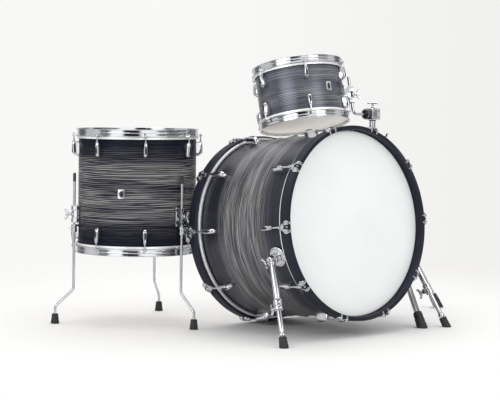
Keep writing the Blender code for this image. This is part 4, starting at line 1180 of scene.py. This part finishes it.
def makeStandLeg(number, post):
    name = f"standLeg{number}"
    node, fold = f"stand_leg_{number}", f"stand_leg_{number}_fold"
    hinge = jointAt(fold)
    strutHinge = jointAt(f"stand_strut_{number}_fold")
    leg = axesAt(hinge, hinge - strutHinge, Vector((hinge.x - post.x, hinge.y - post.y, 0)))
    reach = (hinge - strutHinge).length
    lean = (strutHinge - hinge).normalized()
    length = hinge.z / -lean.z
    ground = hinge + lean * length
    inner = stand["tongue"] / 2 + stand["running"]
    outer = inner + stand["strip"]
    half = stand["stripHalf"]
    bottom = -(length - stand["bootLength"] * 0.75)
    strip = rounded(oblong(half, bottom, 0.0065), 0.0062, 5)
    strips = [plateAcrossY(strip, *sides) for sides in ((-outer, -inner), (inner, outer))]
    hinges, spacer = (0.0, -reach), -reach * 1.45
    rivets = [crossPin(stand["pin"], -outer - 0.0010, outer + 0.0010, 0.0009, 20, z) for z in hinges]
    rivets.append(crossPin(0.0042, -inner, inner, 0.0006, 20, spacer))
    rivets.append(crossPin(0.0030, -outer - 0.0012, outer + 0.0012, 0.0009, 20, spacer))
    body = f"stand_leg_{number}_body"
    makePiece(name, body, strips, chrome, leg, [node], bevel=0.0009)
    makePiece(f"{name}Rivets", body, rivets, chrome, leg)
    washers = [
        crossPin(0.0052, low, low + 0.0008, 0.0003, 24, z)
        for z in hinges for low in (-outer - 0.0006, outer - 0.0002)
    ]
    makePiece(f"{name}Washers", body, washers, nylon, leg)

    bootTop = leg @ moved(0, 0, -length + stand["bootLength"])
    makeFoot(f"{name}Boot", body, bootTop, stand["bootTop"], ground, stand["bootBase"], f"{node}_boot")

    strutBody = f"stand_strut_{number}_body"
    lower = Vector((hinge.x, hinge.y, 2 * strutHinge.z - hinge.z))
    strut = axesAt(strutHinge, strutHinge - lower, leg.to_3x3() @ east)
    span, wide, thick = (strutHinge - lower).length, stand["strutHalf"], stand["strut"] / 2
    bar = plateAcrossY(rounded(oblong(wide, -span - wide, wide), 0.0056, 5), -thick, thick)
    name = f"standStrut{number}"
    makePiece(name, strutBody, [bar], chrome, strut, [f"stand_strut_{number}"], bevel=0.0009)
    rib = block((-0.0018, -thick - 0.0003, -span + 0.018), (0.0018, thick + 0.0003, -0.018))
    makePiece(f"{name}Rib", strutBody, [rib], darkChrome, strut)


# Tom holder, L-rod and bracket

holder = {
    "half": 0.022, "deep": 0.020, "knuckle": 0.019, "knuckleLength": 0.024, "rod": 0.00525, "bend": 0.016,
    "upright": 0.137, "bracketOut": 0.0306, "clamp": 0.012, "plate": 0.005, "plateHalf": 0.017,
}


def makeHolder():
    centre = jointAt("holder_swivel")
    half, deep = holder["half"], holder["deep"]
    place = Matrix.Translation(centre)
    body = block((-half + 0.0008, -deep, -half + 0.001), (half, deep, half - gap))
    makePiece("holderBlock", "holder", [body], chrome, place, ["stand_holder"], bevel=0.006, segments=4)
    neck = [(0.008, -0.002), (0.0128, -0.002), (0.0140, 0.002), (0.0140, 0.007), (0.008, 0.008)]
    neck = turned([(radius, -half + height) for radius, height in neck], 0.001)
    spigot = pin(0.0088, -half - 0.030, -half, 0.0005, 32)
    makePiece("holderNeck", "holder", [neck, spigot], darkChrome, place)
    facePlate = at(disc(0.006, 0.0195, 0, 0.0022, 0.0008), moved(-half - 0.0002) @ outOfPlate)
    makePiece("holderRatchet", "holder", [facePlate], darkChrome, place)
    # painted shade: a black strip down the join of the block's halves, standing in for the shade in that join
    seam = block((-0.0007, -deep - 0.0003, -half + 0.006), (0.0007, deep + 0.0003, half - 0.006))
    makePiece("holderSeamShade", "holder", [seam], nylon, place)
    bolt = pin(0.0038, deep - 0.002, deep + 0.0016, 0.0006, 6)
    bolts = [
        at(bolt, moved(x, 0, z) @ spun(sign * math.pi / 2, "X"))
        for x in (-0.013, 0.013) for z in (-0.011, 0.011) for sign in (-1, 1)
    ]
    makePiece("holderBolts", "holder", bolts, chrome, place)

    joint = "holder_screw_turn"
    towards = Vector((math.cos(math.radians(-42)), math.sin(math.radians(-42)), 0))
    top = axesAt(jointAt(joint), up, towards)
    bar = turned([
        (0.002, -0.019), (0.0042, -0.019), (0.0046, -0.012), (0.0036, -0.006), (0.0036, 0.006),
        (0.0046, 0.012), (0.0042, 0.019), (0.002, 0.019),
    ], 0.0012, 24)
    bar = at(bar, moved(0, 0, 0.0175) @ spun(math.pi / 2, "Y"))
    stem = turned([
        (0.0025, gap), (0.0062, gap), (0.0062, 0.004), (0.0036, 0.0055), (0.0036, 0.0175), (0.002, 0.0195),
    ], 0.0008, 24)
    makePiece("holderTBolt", "holder_screw", [bar, stem], chrome, top, ["stand_holder_wing"])


def makeArm():
    centre, corner = jointAt("tom_tilt"), jointAt("tom_turn")
    arm = (corner - centre).normalized()
    rise = jointAlong("tom_turn")
    face = holder["half"] + gap
    tilt = axesAt(centre, arm, up)
    knuckle = holder["knuckle"]
    rod, end = holder["rod"], face + holder["knuckleLength"]
    discs = turned([
        (knuckle * 0.4, face + 0.0026), (knuckle, face + 0.0026), (knuckle, face + 0.0060),
        (knuckle * 0.88, face + 0.0075), (knuckle * 0.88, face + 0.0110), (knuckle * 0.96, face + 0.0125),
        (knuckle * 0.90, face + 0.0180), (knuckle * 0.62, face + 0.0222), (rod * 1.5, end), (rod, end),
    ], 0.0012)
    makePiece("armKnuckle", "tom_arm", [discs], darkChrome, tilt)
    tooth = block((knuckle - 0.0065, -0.0007, 0), (knuckle - 0.0006, 0.0007, 0.0016))
    copyRound("armTeeth", "tom_arm", [tooth], chrome, tilt @ moved(0, 0, face + 0.0012), 40)
    rib = block((knuckle * 0.90, -0.0008, 0.0), (knuckle * 1.0, 0.0008, 0.0042))
    copyRound("armKnuckleRibs", "tom_arm", [rib], chrome, tilt @ moved(0, 0, face + 0.0128), 24)
    start = centre + arm * (face + 0.016)
    path = [start, corner, corner + rise * (holder["upright"] - 0.0005)]
    rodAlong("tomRod", "tom_arm", path, rod, holder["bend"], chrome, "tom_l_rod")


def makeTomBracket():
    corner, axis = jointAt("tom_turn"), jointAlong("tom_turn")
    middle = rackTom["place"].translation
    outward = corner - middle
    outward = (outward - axis * outward.dot(axis)).normalized()
    place = axesAt(middle, axis, outward)
    _, low, high = reachOf("tom_bracket", place)
    radius, out = rackTom["radius"], rackTom["radius"] + holder["bracketOut"]
    face, half, clamp = radius + gap, holder["plateHalf"], holder["clamp"]
    outline = rounded(oblong(half, low + 0.0006, high - 0.0006), 0.007, 5)
    plate = plateAcrossX(outline, face + 0.0016, face + holder["plate"])
    centre = (low + high) / 2
    body = block((face + 0.004, -clamp * 0.82, low + 0.014), (out - 0.002, clamp * 0.82, high - 0.014))
    side = clamp - 0.0006
    jaws = [
        block((out - clamp * 0.9, -side, z - 0.010), (out + side, side, z + 0.010))
        for z in (centre - 0.020, centre + 0.020)
    ]
    solids = [plate, body] + jaws
    makePiece("tomBracket", "rack_tom", solids, chrome, place, ["tom_bracket"], bevel=0.0020, segments=3)
    core = disc(0.0068, 0.0092, low + 0.008, high - 0.008, 0.001)
    makePiece("tomBracketSleeve", "rack_tom", [at(core, moved(out))], nylon, place)
    boss = turned([(0.004, 0), (0.0095, 0), (0.0095, 0.006), (0.0075, 0.0078), (0.004, 0.0078)], 0.001, 32)
    boss = at(boss, moved(out + 0.004, 0, centre) @ outOfPlate)
    makePiece("tomBracketBoss", "rack_tom", [boss], chrome, place)
    gasket = plateAcrossX([(y * 1.02, z) for y, z in outline], face, face + 0.0018)
    makePiece("tomBracketGasket", "rack_tom", [gasket], rubber, place)
    screw, onPlate = screwHead(0.0042, 0.0028), face + holder["plate"] - 0.0004
    heads = [
        at(screw, moved(onPlate, side * sign * half * 0.52, centre + sign * 0.030) @ outOfPlate)
        for sign in (-1, 1) for side in (1, -1)
    ]
    makePiece("tomBracketScrews", "rack_tom", heads, chrome, place)
    makeWingBolt("tomBracketWing", "tom_bracket_screw_turn", axis, "tom_bracket_wing")


# Studio

studio = {
    "eye": Vector((-3.8505, -3.7349, 0.7766)), "heading": -0.7329, "dip": 0.0109, "roll": 0.0106,
    "lens": 117.1, "shift": -0.168,
    "post": Vector((0.4025, 0.3295)),  # the stand's post in the frame that the eye is given in
    # the floor's two colours paint light and shade: lighter in front, darker behind, for the light that falls on
    # the front of the floor
    "floor": (0.86, 0.86, 0.865), "floorBack": (0.715, 0.71, 0.70),
    "airLeft": (0.945, 0.945, 0.930), "airRight": (0.885, 0.878, 0.862),
}


def makeCamera():
    post = jointAt("holder_swivel")
    offset = Vector((post.x - studio["post"].x, post.y - studio["post"].y, 0))
    heading, dip, roll = studio["heading"], studio["dip"], studio["roll"]
    right = Vector((math.cos(heading), math.sin(heading), 0))
    ahead = Vector((-math.sin(heading) * math.cos(dip), math.cos(heading) * math.cos(dip), -math.sin(dip)))
    above = right.cross(ahead)
    rolled = right * math.cos(roll) + above * math.sin(roll)
    above = above * math.cos(roll) - right * math.sin(roll)
    data = bpy.data.cameras.new("camera")
    data.sensor_width = 36.0
    data.lens = studio["lens"]
    data.shift_y = studio["shift"]
    data.clip_end = 200.0
    camera = bpy.data.objects.new("camera", data)
    matrix = Matrix((rolled, above, -ahead)).transposed().to_4x4()
    matrix.translation = studio["eye"] + offset
    camera.matrix_world = matrix
    bpy.context.scene.collection.objects.link(camera)
    bpy.context.scene.camera = camera


def makeFloor():
    material, wire = startMaterial("studioFloor")
    x, y, _ = objectPlace(wire)
    away = wire.maths("SQRT", x * x + y * y)
    fade = away.eased(0.75, 2.2)
    mottle = wire.grain(x * 3.0, y * 3.0, 0.0, 2.0)
    depth = x * -math.sin(studio["heading"]) + y * math.cos(studio["heading"]) + mottle * 0.06
    # painted light and shade: the floor's colour runs from the lighter front colour to the darker back colour with
    # depth away from the eye
    shade = depth.eased(-1.42, -0.86).blend(studio["floor"], studio["floorBack"])
    values = {"Base Color": shade, "Roughness": 0.75}
    white = wire.node("ShaderNodeBsdfPrincipled", None, values)
    clear = wire.node("ShaderNodeBsdfTransparent")
    both = wire.node("ShaderNodeMixShader", None, {0: fade, 1: white, 2: clear})
    end = wire.tree.nodes.new("ShaderNodeOutputMaterial")
    wire.tree.links.new(both.socket, end.inputs["Surface"])
    mesh = bpy.data.meshes.new("studioFloor")
    size = 40.0
    mesh.from_pydata([(x, y, 0) for x, y in oblong(size, -size, size)], [], [(0, 1, 2, 3)])
    mesh.materials.append(material)
    floor = bpy.data.objects.new("studioFloor", mesh)
    floor.location.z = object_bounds()[0].z - 0.0002
    bpy.context.scene.collection.objects.link(floor)


reflected = (
    (0.00, 0.75), (0.07, 0.80), (0.11, 0.20), (0.17, 0.16), (0.20, 0.80), (0.29, 0.85), (0.305, 0.30),
    (0.350, 0.30), (0.375, 1.50), (0.425, 1.50), (0.445, 0.02), (0.515, 0.02), (0.535, 1.45), (0.60, 1.45),
    (0.63, 0.35), (0.73, 0.30), (0.76, 0.80), (0.81, 0.75), (0.84, 0.16), (0.90, 0.18), (0.93, 0.75),
    (1.00, 0.75),
)


def makeWorld():
    world = bpy.data.worlds.new("studioAir")
    world.use_nodes = True
    tree = world.node_tree
    tree.nodes.clear()
    wire = Wire(tree)
    facing = wire.node("ShaderNodeTexCoord", None, None, output=0)
    x, y, z = (wire.node("ShaderNodeSeparateXYZ", None, {0: facing}, output=i) for i in range(3))
    heading = studio["heading"]
    aside = x * math.cos(heading) + y * math.sin(heading)
    towards = x * math.sin(heading) - y * math.cos(heading)
    bearing = wire.maths("ARCTAN2", aside, towards) / math.tau + 0.5
    stops = [(place, (shade,) * 3) for place, shade in reflected]
    band = wire.node("ShaderNodeValToRGB", {"stops": stops}, {0: bearing})
    roof = z.eased(0.60, 0.74, 0.95, 0.30) + z.eased(0.82, 0.92, 0.0, 0.85)
    shade = wire.node("ShaderNodeCombineColor", None, {0: roof, 1: roof, 2: roof})
    glossy = z.eased(0.34, 0.46).blend(band, shade)
    isCamera = wire.node("ShaderNodeLightPath", None, None, output=0)
    isGlossy = wire.node("ShaderNodeLightPath", None, None, output=3)
    air = aside.eased(-0.05, 0.15).blend(studio["airLeft"], studio["airRight"])
    colour = isCamera.blend(isGlossy.blend((1.02, 1.02, 1.03), glossy), air)
    background = wire.node("ShaderNodeBackground", None, {"Color": colour, "Strength": 1.0})
    end = tree.nodes.new("ShaderNodeOutputWorld")
    tree.links.new(background.socket, end.inputs["Surface"])
    bpy.context.scene.world = world


def addLight(name, place, target, size, power, tint=(1.0, 1.0, 1.0)):
    data = bpy.data.lights.new(name, "AREA")
    data.shape = "RECTANGLE"
    data.size, data.size_y = size
    data.energy = power
    data.color = tint
    light = bpy.data.objects.new(name, data)
    light.matrix_world = axesAt(place, Vector(place) - Vector(target), up)
    bpy.context.scene.collection.objects.link(light)


def makeLights():
    addLight("topBox", (0.2, 0.4, 3.4), (0.0, 0.0, 0.4), (3.4, 2.6), 60.0, (1.0, 0.995, 0.98))
    addLight("leftBox", (-3.6, -0.6, 1.8), (0.0, 0.0, 0.5), (1.0, 2.6), 24.0, (0.96, 0.98, 1.0))
    addLight("frontBox", (0.2, -4.2, 2.2), (0.0, 0.0, 0.5), (1.4, 1.8), 24.0)


makeDrums()
for side in ("left", "right"):
    makeSpur(side)
for number in (1, 2, 3):
    makeFloorLeg(number)
print("spurs and floor tom legs made")
makeStand()
makeHolder()
makeArm()
makeTomBracket()
print("stand and tom holder made")
makeCamera()
makeFloor()
makeWorld()
makeLights()
bpy.context.scene.view_settings.view_transform = "Standard"
print("studio made")
